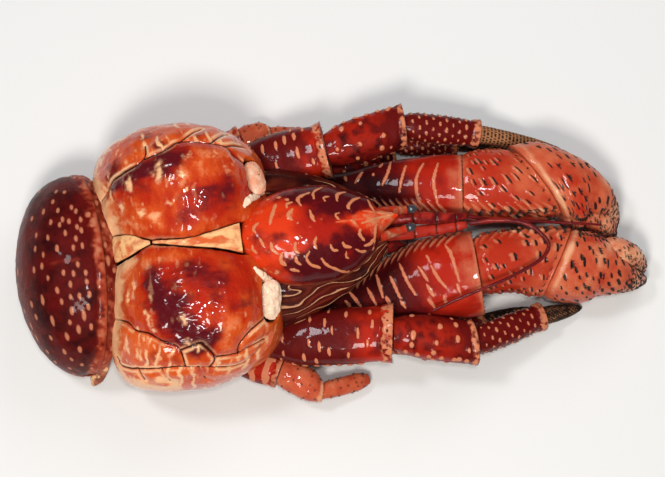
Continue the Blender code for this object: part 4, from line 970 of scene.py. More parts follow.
def make_shield():
    """The head shield with its keel, crescents, orbits and ridged rostrum."""
    skin = Skin(shield_rings())
    rings = skin.rings
    x, y, z = rings[..., 0], rings[..., 1], rings[..., 2]
    marks = shield_marks(rings) * soft_step(40.8, 41.6, z)
    keel = painted(rings, [((28, 0.6, 56.6), (40, 1.6, 54.6), (52, 2.2, 52), (58, 2.6, 50))], 0.5, 0.3)
    low = layered_noise(rings, 9, 4, 3)
    fine = layered_noise(rings, 3, 14, 3)
    tongue = eased(((0, 0), (43, 0.2), (46.5, 3.2), (50, 4.6), (54, 4.4), (58, 3.4), (66, 2.4)), x[:, 0])
    snout = 1 - soft_step(-2.6, 1.2, np.abs(y - 1.4) - tongue + 0.8 * fine)
    snout = np.maximum(snout * (x > 42), soft_step(55, 58, x)) * soft_step(40, 42, z)
    border = (
        np.exp(-((z - 41.4 - 0.3 * low) / 0.5) ** 2)
        + 0.8 * np.exp(-((z - 43.6 - 0.5 * low) / 0.35) ** 2) * (y < 0))
    orbit = painted(rings, [
        ((62, 3.2, 48.0), (56.5, 5.0, 50.0), (54.0, 8.5, 48.5), (53.5, 11.8, 45.5)),
        ((62, 2.4, 48.0), (56.5, -0.8, 50.0), (54.5, -5.0, 49.0), (53.0, -9.8, 46.0)),
    ], 0.7, 0.0)
    ridges = painted(rings * (1, 1, 0), [
        ((51.0, 5.6, 0), (57.5, 4.4, 0), (63.0, 3.6, 0)), ((50.0, 0.2, 0), (57.0, 2.0, 0), (63.0, 3.0, 0)),
    ], 0.55, 0.3)
    skin.push(0.2 * low + 0.06 * fine + 0.22 * marks + 0.3 * orbit + 0.15 * keel + 0.35 * ridges * snout)
    side = soft_step(9, 18, np.abs(y - 0.8) + 0.12 * (x - 10) + 1.5 * low)
    deep = blobs(x, y, (
        (37, 8, 9, 4.5, 0.6), (45, 9, 7, 5, 0.6), (40, -6.5, 8, 4.5, 0.65), (33, -12, 8, 4, 0.5),
        (49, -7, 6, 5, 0.5), (27, 13, 7, 4, 0.4), (22, -14, 7, 3, 0.3), (30, 5, 5, 3, 0.25)))
    bruise = blobs(x, y, ((17, -1.5, 3.2, 2.2, 1.0), (16.5, 7.5, 2.6, 2.0, 0.8)))
    skin.dark = (
        0.06 + 0.7 * side * soft_step(12, 30, x + 3 * low) + deep * (1 - keel) + 0.35 * low + 0.22 * fine
        + 0.1 * soft_step(18, 36, x) + 0.45 * bruise - 0.5 * snout)
    skin.warm = 0.95 - 0.45 * side + 0.3 * low - 0.75 * soft_step(14, 34, x) + 0.5 * keel + 0.5 * snout
    freckle = soft_step(0.6, 0.95, layered_noise(rings, 2.4, 77, 2)) * (1 - side)
    hem = blobs(x, y, ((9, -15, 6, 3.5, 0.8), (8, 15.5, 5, 2.5, 0.5))) * soft_step(-0.3, 0.6, fine)
    skin.pale = np.maximum.reduce([
        0.95 * marks, 0.46 * keel, snout * (0.40 + 0.6 * ridges + 0.5 * fine), 0.85 * orbit,
        0.75 * border * (x > 6), 0.40 * freckle, hem])
    return skin.piece("head_shield_shell", FINISH["shield"], "shield", "head_shield")


def make_midline_plates():
    """The heart plate and the hind plate between the gill covers."""
    for name, outline in MIDLINE_PLATES.items():
        x = np.linspace(outline[0][0], outline[-1][0], 100)
        half_width, height = eased(outline, x).T[:, :, None]
        round_off = np.clip((x[0] + 2.2 - x) / 2.2, 0, 1)[:, None] ** 2 * (name == "hind_plate")
        half_width = half_width * (1 - 0.38 * round_off)
        u = np.linspace(1, -1, 44)[None, :]
        top = height + 0.1 - 1.1 * np.abs(u) ** 5
        y = np.concatenate([half_width * u, -half_width * u * 0.8], axis=1) + eased(MIDLINE, x)
        z = np.concatenate([top, height - 4.0 + 0 * u], axis=1)
        skin = Skin(np.stack([x[:, None] + 0 * y, y, z], axis=2))
        rings = skin.rings
        low = layered_noise(rings, 5, 6, 3)
        fine = layered_noise(rings * (0.5, 1, 1), 2.2, 16, 3)
        across = np.concatenate([np.abs(u) + 0 * x[:, None], 1 + 0 * u + 0 * x[:, None]], axis=1)
        skin.push(0.22 * low + 0.12 * fine)
        heart = name == "heart_plate"
        patch = blobs(rings[..., 0], rings[..., 1], ((-46.5, 1.0, 3.5, 2.5, 0.7), (-12, 1, 7, 3, 0.3)))
        skin.warm = (0.72 if heart else 0.20) + 0.6 * low + patch
        skin.pale = (0.32 if heart else 0.66) + 0.75 * fine + 0.1 * across - 0.5 * patch
        edge = half_width * (1 - across)
        skin.seam = np.clip(0.5 + (0.30 - edge) / 0.7, 0, 1)
        skin.piece(f"{name}_shell", FINISH["plate"], "plate", name)


def make_corner_plates():
    """The two pale warty plates beside the shield's rear corners, with a fold of skin."""
    for name, (centre, long, wide) in CORNER_PLATES.items():
        side = SIDES[name]
        along, across, normal = corner_axes(name)
        a, b = oval(ring_angles(110), 2.6)
        bean = 1 - 0.16 * np.clip(a, 0, 1)
        crown = 0.4 + 1.8 * np.sin(np.linspace(0.05, 1, 40) * math.pi / 2) ** 0.7
        shares = np.r_[np.linspace(0.72, 1.0, 14), np.linspace(0.98, 0.05, 40)]
        rises = np.r_[np.linspace(-2.6, 0.4, 14), crown]
        rings = []
        for share, rise in zip(shares, rises):
            ring = (
                np.array(centre) + np.outer(a * long * share, along)
                + np.outer(b * wide * share * bean, across) + normal * rise)
            rings.append(ring)
        skin = Skin(rings)
        wart = layered_noise(skin.rings, 1.9, 14, 2)
        soft = layered_noise(skin.rings, 4, 3)
        pit = soft_step(0.55, 0.85, layered_noise(skin.rings, 1.1, 24, 2))
        if side > 0:
            skin.push(0.12 * wart - 0.25 * pit)
            skin.warm = 0.10 + 0.3 * soft
            skin.pale = 0.25 + 0.3 * soft + 0.2 * wart
            skin.dark = 0.75 * pit
        else:
            skin.push(0.45 * np.clip(wart, -0.7, 1.0))
            skin.warm = 0.2 + 0.3 * soft
            skin.pale = 0.85 + 0.3 * wart
            skin.dark = np.clip(-0.75 - wart, 0, 1) * 1.4
        skin.piece(f"corner_plate_{name}_shell", FINISH["wart"], "plate", f"corner_plate_{name}")
        make_skin_fold(name)


SKIN_FOLDS = {
    "left": ((11.6, 20.4), (8.6, 18.4), (5.2, 15.8), (3.0, 12.8)),
    "right": ((4.0, 12.2), (6.6, 15.2), (9.6, 17.6), (12.2, 19.4)),
}


def make_skin_fold(name):
    """The fold of pale skin that shows between a corner plate and the shield."""
    path = lifted([SKIN_FOLDS[name]], gill_surface[name], SIDES[name])[0][::6]
    fold = Spindle([(x, y, z + 0.3, r, r * 0.7) for (x, y, z), r in zip(path, (0.5, 1.5, 1.7, 0.6))], 0.3)
    crinkle = layered_noise(fold.rings * (1, 0.5, 1), 1.1, 9, 2)
    fold.push(0.3 * crinkle)
    fold.pale = 0.8 + 0.4 * crinkle
    fold.piece(f"skin_fold_{name}", FINISH["wart"], "plate")


# A flank along the crab: x, how far out it reaches, and the height of its widest line.
FLANK_STATIONS = (
    (-4.0, 33.0, 24.0), (6.0, 35.0, 24.0), (18.0, 33.5, 24.5), (28.0, 30.0, 26.0), (38.0, 25.5, 28.0),
    (48.0, 19.5, 29.0), (56.0, 13.5, 30.0), (60.0, 9.0, 31.0),
)


def make_flanks():
    """The side walls under the shield, with broken light ridges along them."""
    for name, side in SIDES.items():
        x = np.linspace(-4, 60, 150)
        outer, widest = eased(FLANK_STATIONS, x).T[:, :, None]
        x = x[:, None]
        top = 38.05 + 0 * x
        base = 12.8 + 0.12 * np.maximum(0.0, x - 20)
        corners = (
            (0 * x + 0.15, base), (0 * x + 0.15, top), (outer * 0.45, top), (outer * 0.64, top - 0.6),
            (outer * 0.84, top - 3.6), (outer * 0.95, widest + 5), (outer, widest),
            (outer * 0.93, (widest + base) / 2), (outer * 0.72, base),
        )
        counts = (10, 14, 26, 26, 34, 22, 34, 14, 14)
        ys, zs = [], []
        for (y0, z0), (y1, z1), count in zip(corners, corners[1:] + corners[:1], counts):
            u = np.linspace(0, 1, count, endpoint=False)[None, :]
            ys.append(y0 + (y1 - y0) * u)
            zs.append(z0 + (z1 - z0) * u)
        y, z = np.concatenate(ys, axis=1), np.concatenate(zs, axis=1)
        for _ in range(10):
            y = 0.5 * y + 0.25 * (np.roll(y, 1, axis=1) + np.roll(y, -1, axis=1))
            z = 0.5 * z + 0.25 * (np.roll(z, 1, axis=1) + np.roll(z, -1, axis=1))
        skin = Skin(np.stack([x + 0 * y, side * y, z], axis=2))
        rings = skin.rings
        low = layered_noise(rings * (0.35, 1, 1), 6, 7, 2)
        outward = side * rings[..., 1] / eased(FLANK_STATIONS, rings[:, 0, 0])[:, :1]
        run = rings[..., 2] * 0.50 - outward * 11 + 2.4 * low + 0.03 * rings[..., 0]
        lines = np.abs((run / 2.7) % 1 - 0.5) * 2.7
        broken = soft_step(-0.4, 0.1, layered_noise(rings * (0.3, 1, 1), 7, 19, 2))
        ridge = (1 - soft_step(0.04, 0.30, lines)) * broken
        skin.push(0.3 * ridge + 0.15 * low)
        crumbs = soft_step(0.1, 0.7, layered_noise(rings, 1.8, 27, 2)) * (1 - soft_step(2, 12,
                rings[..., 0]))
        skin.pale = np.maximum(0.78 * ridge, 0.8 * crumbs * soft_step(30, 35, rings[..., 2]))
        skin.warm = 0.25 + 0.45 * low + 0.5 * soft_step(0.2, 0.5, lines / 2.7) * broken
        skin.dark = 0.5 + 0.4 * low
        skin.piece(f"flank_{name}_shell", FINISH["flank"], "flank", f"flank_{name}")


# The abdomen

# The tergites turn about a line through this point. They end 82 degrees out on each side of the middle.
PIVOT = np.array((-69.5, 0.0, 14.0))
ABDOMEN_HALF_WIDTH = 43.0
SIDE_TURN, TERGITE_COLUMNS = 82, 220
# Degrees round that line, and the radius there.
ABDOMEN_RADII = (
    (0, 15.0), (40, 20.0), (60, 35.0), (75, 36.0), (100, 35.5), (125, 32.5), (150, 29.5), (175, 27.5),
    (200, 25.0), (230, 20.0), (260, 15.0), (300, 14.5), (360, 15.0),
)
# The light spots on the abdomen's large plate, as read in its close-up.
ABDOMEN_SPOTS = (
    (190, 520), (125, 555), (260, 405), (305, 410), (240, 460), (270, 510), (345, 495), (370, 515),
    (230, 575), (280, 590), (295, 560), (330, 570), (310, 635), (375, 600), (395, 560), (440, 530),
    (150, 650), (215, 665), (370, 665), (355, 715), (265, 720), (400, 620), (405, 705), (145, 725),
    (190, 755), (180, 820), (300, 855), (355, 860), (425, 855), (380, 810), (215, 885), (135, 840),
    (340, 920), (430, 905), (185, 1005), (265, 955), (290, 1015), (340, 990), (390, 985), (445, 975),
    (240, 1120), (345, 1065), (415, 1090), (335, 1130), (150, 1100), (385, 1170), (320, 1210), (230, 1220),
    (390, 1280), (305, 1295), (345, 1335), (455, 1155), (440, 1045), (125, 1030),
)
# Spots that are longer than wide, by their place in that list.
LONG_SPOTS = {40: 1.7, 41: 1.3, 42: 1.9, 45: 1.8, 46: 1.7, 48: 1.7, 0: 1.2, 34: 1.4, 49: 1.3}


def tergite_spots(name, rings, from_rim, count, seed):
    """A mask of the places read from the photo, and of more that are thrown where it shows none."""
    spots = np.zeros(rings.shape[:2])
    chance = np.random.default_rng(seed)
    places = []
    if name == "tergite_2":
        seen = seen_on("abdomen", ABDOMEN_SPOTS, "tergite_2", "tergite_3")
        places = [(p, LONG_SPOTS.get(k, 1.0)) for k, p in enumerate(seen)]
    for _ in range(420):
        row, column = chance.integers(3, rings.shape[0] - 2), chance.integers(8, count - 8)
        place = rings[row, column]
        if from_rim[row, column] < 3.5 or (name == "tergite_2" and place[2] > 30):
            continue
        if all(np.linalg.norm(place - p) > 4.6 for p, _ in places):
            places.append((place, chance.uniform(0.7, 1.3)))
    for place, long in places:
        away = (rings - np.array(place)) / np.array((1.0, 1.9 * long, 1.5))
        away = np.linalg.norm(away, axis=2) / (0.62 + 0.16 * long)
        spots = np.maximum(spots, 1 - soft_step(0.6, 1.4, away + 0.18 * lattice_noise(rings, 1.3, 8)))
    return spots


def make_tergite(name, first, last, inset, finish, slot, seed):
    """One plate of the abdomen between two angles about its side corners."""
    rows = max(int(abs(last - first) * 1.15), 16)
    angle = np.linspace(first + 0.5, last - 0.5, rows)
    radius = eased(ABDOMEN_RADII, angle)[:, 0][:, None]
    turn = np.radians(np.linspace(-SIDE_TURN, SIDE_TURN, TERGITE_COLUMNS))[None, :]
    reach = np.cos(turn) ** 0.85
    radians = np.radians(angle)[:, None]
    parts = []
    for size in (radius - inset, radius * 0.5):
        parts.append(np.stack([
            PIVOT[0] + np.cos(radians) * size * reach,
            ABDOMEN_HALF_WIDTH * np.sin(turn) + 0 * radians,
            PIVOT[2] + np.sin(radians) * size * reach,
        ], axis=2))
    skin = Skin(np.concatenate([parts[0], parts[1][:, ::-1]], axis=1), folded=True)
    rings = skin.rings
    count = rings.shape[1] // 2
    outside = np.zeros(rings.shape[:2])
    outside[:, :count] = 1
    low = layered_noise(rings, 8, seed, 3)
    from_rim = (angle - first)[:, None] * math.pi / 180 * radius * reach
    from_rim = np.concatenate([from_rim, from_rim[:, ::-1]], axis=1)
    lip = np.exp(-((from_rim - 1.6) / 1.3) ** 2)
    groove = np.exp(-((from_rim - 4.2) / 0.9) ** 2)
    spots = tergite_spots(name, rings, from_rim, count, seed)
    broken = soft_step(-0.5, 0.4, layered_noise(rings, 3.5, 62, 2))
    line = broken * np.exp(-((rings[..., 1] - 1.0 + 0.8 * low) / 0.9) ** 2) * (name == "tergite_2")
    skin.push(outside * (0.22 * low + 0.20 * lip - 0.25 * groove + 0.12 * spots))
    neck = 0.4 if name == "tergite_1" else 0.0
    fine = layered_noise(rings, 2.2, seed + 30, 2)
    brim = np.exp(-((from_rim - 1.8 - 1.2 * fine) / 2.4) ** 2)
    skin.pale = outside * np.maximum.reduce([
        0.9 * spots, (0.25 + 0.6 * fine) * brim, (0.5 + 0.8 * fine) * neck])
    skin.warm = (
        (0.70 + 0.6 * fine) * brim + 0.30 * line + 0.10 + (1 + fine) * neck + 0.35 * low
        + 0.3 * soft_step(34, 44, np.abs(rings[..., 1])))
    skin.dark = (
        0.50 + 0.45 * low + 0.15 * fine - 0.7 * brim - neck - 0.3 * line
        - 0.4 * soft_step(-84, -92, rings[..., 0]))
    return skin.piece(f"{name}_shell", FINISH[finish], slot, name)


def make_abdomen():
    """The tergites, the fan turned under the tail and the two corner tabs."""
    make_tergite("tergite_1", 48, 68, 1.8, "abdomen", "abdomen", 5)
    make_tergite("tergite_2", 68, 168, 0.0, "abdomen", "abdomen", 6)
    make_tergite("tergite_3", 168, 204, 1.0, "abdomen", "abdomen", 7)
    make_tergite("tergite_4", 204, 236, 2.0, "abdomen", "abdomen", 8)
    make_tergite("tail_fan", 236, 285, 2.6, "belly", "belly", 9)
    for name, side in SIDES.items():
        path = (
            (-60.5, 29.0, 19.0, 1.4), (-63.0, 33.0, 15.5, 2.8), (-66.5, 39.0, 10.5, 3.6),
            (-69.5, 43.5, 6.5, 2.8), (-71.5, 45.5, 4.2, 1.0),
        )
        tab = Spindle([(x, side * y, z, r, r * 0.7) for x, y, z, r in path])
        tab.push(0.2 * layered_noise(tab.rings, 3, 5))
        tab.warm += 0.4
        tab.dark = 0.35 + 0.6 * layered_noise(tab.rings, 3, 5)
        tab.pale = 0.35 + 0.6 * layered_noise(tab.rings, 3, 6)
        tab.piece(f"abdomen_tab_{name}_shell", FINISH["belly"], "abdomen", f"abdomen_tab_{name}")


# Legs and claws

# The parts of a walking leg: share of the length, half width, half height.
MERUS = ((0.0, 5.5, 5.0), (0.14, 8.6, 7.0), (0.35, 11.2, 8.4), (0.68, 12.0, 8.8), (0.88, 11.6, 8.4),
    (1.0, 12.2, 8.6))
CARPUS = ((0.0, 6.6, 6.2), (0.14, 8.2, 7.2), (0.45, 9.4, 8.0), (0.82, 9.2, 7.4), (1.0, 9.0, 7.0))
PROPODUS = ((0.0, 4.6, 4.6), (0.16, 6.0, 5.6), (0.5, 6.2, 5.5), (0.84, 5.6, 5.0), (1.0, 6.0, 5.2))
TOE = ((0.0, 4.0, 3.8), (0.25, 3.9, 3.6), (0.6, 3.2, 3.0), (0.88, 1.8, 1.8), (1.0, 0.5, 0.5))
# The joints of each leg from the body to the tip.
LEGS = {
    "leg_2_right": ((2.0, -38.0, 15.0), (57.9, -42.7, 24.0), (91.3, -50.9, 20.0), (122.5, -42.0, 8.0),
        (141.5, -39.6, 1.0)),
    "leg_2_left": ((0.0, 37.0, 15.0), (40.5, 38.5, 25.0), (74.2, 45.0, 24.0), (106.1, 38.9, 17.0),
        (143.9, 29.5, 2.4)),
    "leg_3_right": ((8.0, -36.0, 5.4), (42.0, -38.5, 5.9), (70.0, -44.0, 5.6), (98.0, -40.5, 4.6),
        (120.0, -37.0, 1.0)),
    "leg_3_left": ((8.0, 33.0, 5.4), (42.0, 34.0, 5.9), (70.0, 42.0, 5.6), (98.0, 38.5, 4.6),
        (120.0, 34.0, 1.0)),
    "leg_4_right": ((-16.0, -41.0, 7.0), (9.2, -50.9, 11.5), (25.3, -61.7, 9.0), (45.9, -58.4, 3.0)),
    "leg_4_left": ((-16.0, 42.0, 7.0), (5.0, 50.5, 8.5), (17.0, 52.5, 6.5), (34.0, 50.6, 2.6)),
}
# The three parts of a leg of the fourth pair, as for the walking legs.
SMALL_LEG = (
    ((0.0, 4.6, 4.0), (0.3, 6.0, 5.2), (0.8, 7.6, 6.2), (1.0, 7.4, 6.0)),
    ((0.0, 6.0, 5.2), (0.25, 6.8, 5.8), (0.7, 6.6, 5.6), (1.0, 4.4, 4.0)),
    ((0.0, 3.4, 3.2), (0.3, 3.9, 3.4), (0.75, 3.8, 3.2), (1.0, 2.2, 2.0)),
)
ROOT_DEPTH, BRISTLE_CLEARANCE = 0.12, 0.4
HIND_LEG_SIZE, HIND_LEG_STEP = (0.84, 0.66), 0.7
# Every bristle planted so far: foot, direction, length, thickness.
tufts = []


def resized(stations, width, height):
    """Stations with their half widths and half heights scaled."""
    return tuple((s[0], s[1] * width, s[2] * height) for s in stations)


def joint_planes(joints):
    """The normals of the planes at a leg's joints, each halfway between the two segments."""
    points = [np.array(p, float) for p in joints]
    ways = [unit(b - a) for a, b in zip(points, points[1:])]
    return [ways[0], *[unit(a + b) for a, b in zip(ways, ways[1:])], ways[-1]]


def plant(limb, places, length, thick, lean=0.7, count=3, seed=1, slant=0.0, spread=2.2):
    """Remembers bristles to grow: a row of a few at each place, leaning along the limb."""
    chance = np.random.default_rng(seed)
    normals = limb.outward()
    rows, columns = limb.rings.shape[:2]
    for share, degrees, size in places:
        row = int(np.clip(round(share * (rows - 1)), 1, rows - 2))
        column = int(round(degrees / 360 * columns - 0.5)) % columns
        root, normal = limb.rings[row, column], normals[row, column]
        along = unit(limb.rings[row + 1, column] - limb.rings[row - 1, column])
        across = np.cross(normal, along)
        line = across * math.cos(slant) + along * math.sin(slant)
        for k in range(count):
            step = (k - (count - 1) / 2) * thick * spread * size
            way = unit(normal * (1 - lean * 0.75) + along * lean + across * chance.uniform(-0.3, 0.3))
            foot, reach = root + line * step - normal * ROOT_DEPTH, length * size * chance.uniform(0.7, 1.2)
            if min(foot[2], foot[2] + way[2] * reach) > BRISTLE_CLEARANCE:
                tufts.append((foot, way, reach, thick))


def collar(limb, at=0.9):
    """A smooth raised band at the far end of a segment, behind a faint groove."""
    ragged = 0.9 * layered_noise(limb.rings, 1.6, 91, 2) / limb.length
    band = soft_step(at - 0.01, at + 0.035, limb.share + ragged)
    groove = np.exp(-((limb.share - at) * limb.length / 0.7) ** 2)
    limb.push(0.35 * band - 0.3 * groove)
    return band * (0.66 + 0.45 * layered_noise(limb.rings, 1.5, 92, 2))


def dress_merus(limb, rough, seed, side):
    """Short pale streaks all round, a row of teeth and a bright end."""
    marks = limb.spots(scattered(46, seed, (0.12, 0), (0.86, 360), 0.085), 0.7, 2.0)
    edge = limb.spots([(0.25 + 0.085 * i, 90 - side * 88, 1.0) for i in range(7)], 1.5, 1.5)
    limb.seam = limb.spots([(0.96, 18 * a, 1.0) for a in range(20)], 0.5, 0.5) * 0.8
    marks = np.maximum(marks, edge)
    limb.push(0.12 * rough + 0.25 * marks + 0.35 * edge)
    band = collar(limb, 0.905)
    limb.pale = np.maximum(0.92 * marks, 0.95 * band)
    limb.warm = 0.12 + 0.4 * rough + 0.4 * soft_step(0.55, 0.9, limb.share)
    limb.dark = 0.4 + 0.3 * rough - 0.5 * soft_step(0.6, 0.9, limb.share)
    plant(limb, [(0.992, a, 1.0) for a in range(8, 360, 12)], 1.3, 0.11, 0.9, 2, seed)


def dress_carpus(limb, rough, seed, side):
    """Raised pale bumps, a row of them on the outer edge, and a darker outer side."""
    row = [(0.16 + 0.14 * i, 90 - side * 62, 1.1) for i in range(6)]
    marks = limb.spots(scattered(26, seed + 1, (0.12, 0), (0.88, 360), 0.12) + row, 1.0, 1.3)
    limb.push(0.18 * rough + 0.55 * marks)
    band = collar(limb, 0.915)
    limb.pale = np.maximum(0.85 * marks, 0.95 * band)
    limb.warm = 0.62 + 0.7 * rough - 0.45 * soft_step(0.6, 0.9, limb.share)
    limb.dark = 0.30 + 0.45 * rough + 0.25 * soft_step(0.0, 0.9, side * -np.cos(limb.angle))
    plant(limb, [(0.99, a, 0.8) for a in range(8, 360, 16)], 1.2, 0.11, 0.9, 2, seed)


def dress_propodus(limb, rough, seed, side):
    """Nine rings of nine bumps, each with two bristles."""
    places = []
    for row in range(9):
        for column in range(9):
            size = 0.85 + 0.3 * ((row * 7 + column * 3) % 3) / 2
            places.append((0.10 + 0.088 * row, 40 * column + 20 * (row % 2), size))
    marks = limb.spots(places, 0.62, 0.95)
    limb.push(0.12 * rough + 0.42 * marks)
    band = collar(limb, 0.885)
    limb.pale = np.maximum(0.9 * marks, 0.95 * band)
    limb.warm = 0.15 + 0.4 * rough
    limb.dark = 0.35 + 0.3 * rough
    plant(limb, places, 0.9, 0.10, 0.9, 2, seed)
    plant(limb, [(0.99, a, 0.8) for a in range(8, 360, 20)], 1.0, 0.11, 0.9, 2, seed)


def dress_toe(limb, rough, seed, side):
    """Rings of dark pits with bristles, and a dark tip."""
    places = []
    for row in range(21):
        ring = 18 if row < 14 else 12
        for column in range(ring):
            places.append((0.04 + 0.042 * row, 360 / ring * (column + 0.5 * (row % 2)), 1.0))
    marks = limb.spots(places, 0.70, 0.52)
    limb.push(-0.18 * marks)
    limb.dark = 0.95 * marks + 0.9 * soft_step(0.80, 0.97, limb.share)
    limb.warm = 0.3 + 0.3 * rough
    limb.pale = 0.35 * (1 - marks)
    plant(limb, places, 0.75, 0.10, 0.95, 2, seed)


LEG_PARTS = (
    ("merus", MERUS, dress_merus, "leg"), ("carpus", CARPUS, dress_carpus, "leg"),
    ("propodus", PROPODUS, dress_propodus, "leg"), ("toe", TOE, dress_toe, "toe"),
)


def make_walking_leg(name, size, seed, step=0.5):
    """The four parts of one walking leg; the size scales their width and height."""
    joints = LEGS[name]
    planes = joint_planes(joints)
    side = 1 if "left" in name else -1
    for k, (kind, stations, dress, slot) in enumerate(LEG_PARTS):
        limb = Limb(joints[k], joints[k + 1], planes[k], planes[k + 1], resized(stations, *size), step)
        dress(limb, layered_noise(limb.rings, 5, seed + k, 3), seed, side)
        limb.piece(f"{name}_{kind}_shell", FINISH[slot], slot, f"{name}_{kind}", dish=1.6)


def make_small_leg(name, seed):
    """The three parts of one leg of the fourth pair, which ends in a hairy pincer."""
    joints = LEGS[name]
    planes = joint_planes(joints)
    for k, kind in enumerate(("merus", "carpus", "pincer")):
        limb = Limb(joints[k], joints[k + 1], planes[k], planes[k + 1], SMALL_LEG[k], 0.5)
        rough = layered_noise(limb.rings, 4, seed + k, 3)
        if kind == "merus":
            bands = 1 - soft_step(0.35, 0.65, np.abs((limb.share * 4.2 + 0.25 * rough) % 1 - 0.5) * 2)
            limb.push(0.12 * rough)
            limb.pale = 0.85 * np.maximum(bands * soft_step(0.3, 0.6, limb.share), collar(limb, 0.9))
            limb.warm = 0.5 + 0.5 * rough
            finish, slot = FINISH["leg"], "leg"
        else:
            limb.push(0.22 * rough)
            places = scattered(46, seed + 3, (0.1, 0), (0.95, 360), 0.1)
            limb.warm = 0.75 + 0.4 * rough
            end = soft_step(0.85, 0.95, limb.share) * (kind == "carpus")
            limb.pale = 0.3 * soft_step(0.0, 0.8, rough) + 0.6 * end
            plant(limb, places, 1.1, 0.12, 0.8, 4, seed)
            finish, slot = FINISH["claw"], "claw"
        limb.piece(f"{name}_{kind}_shell", finish, slot, f"{name}_{kind}", dish=1.0)


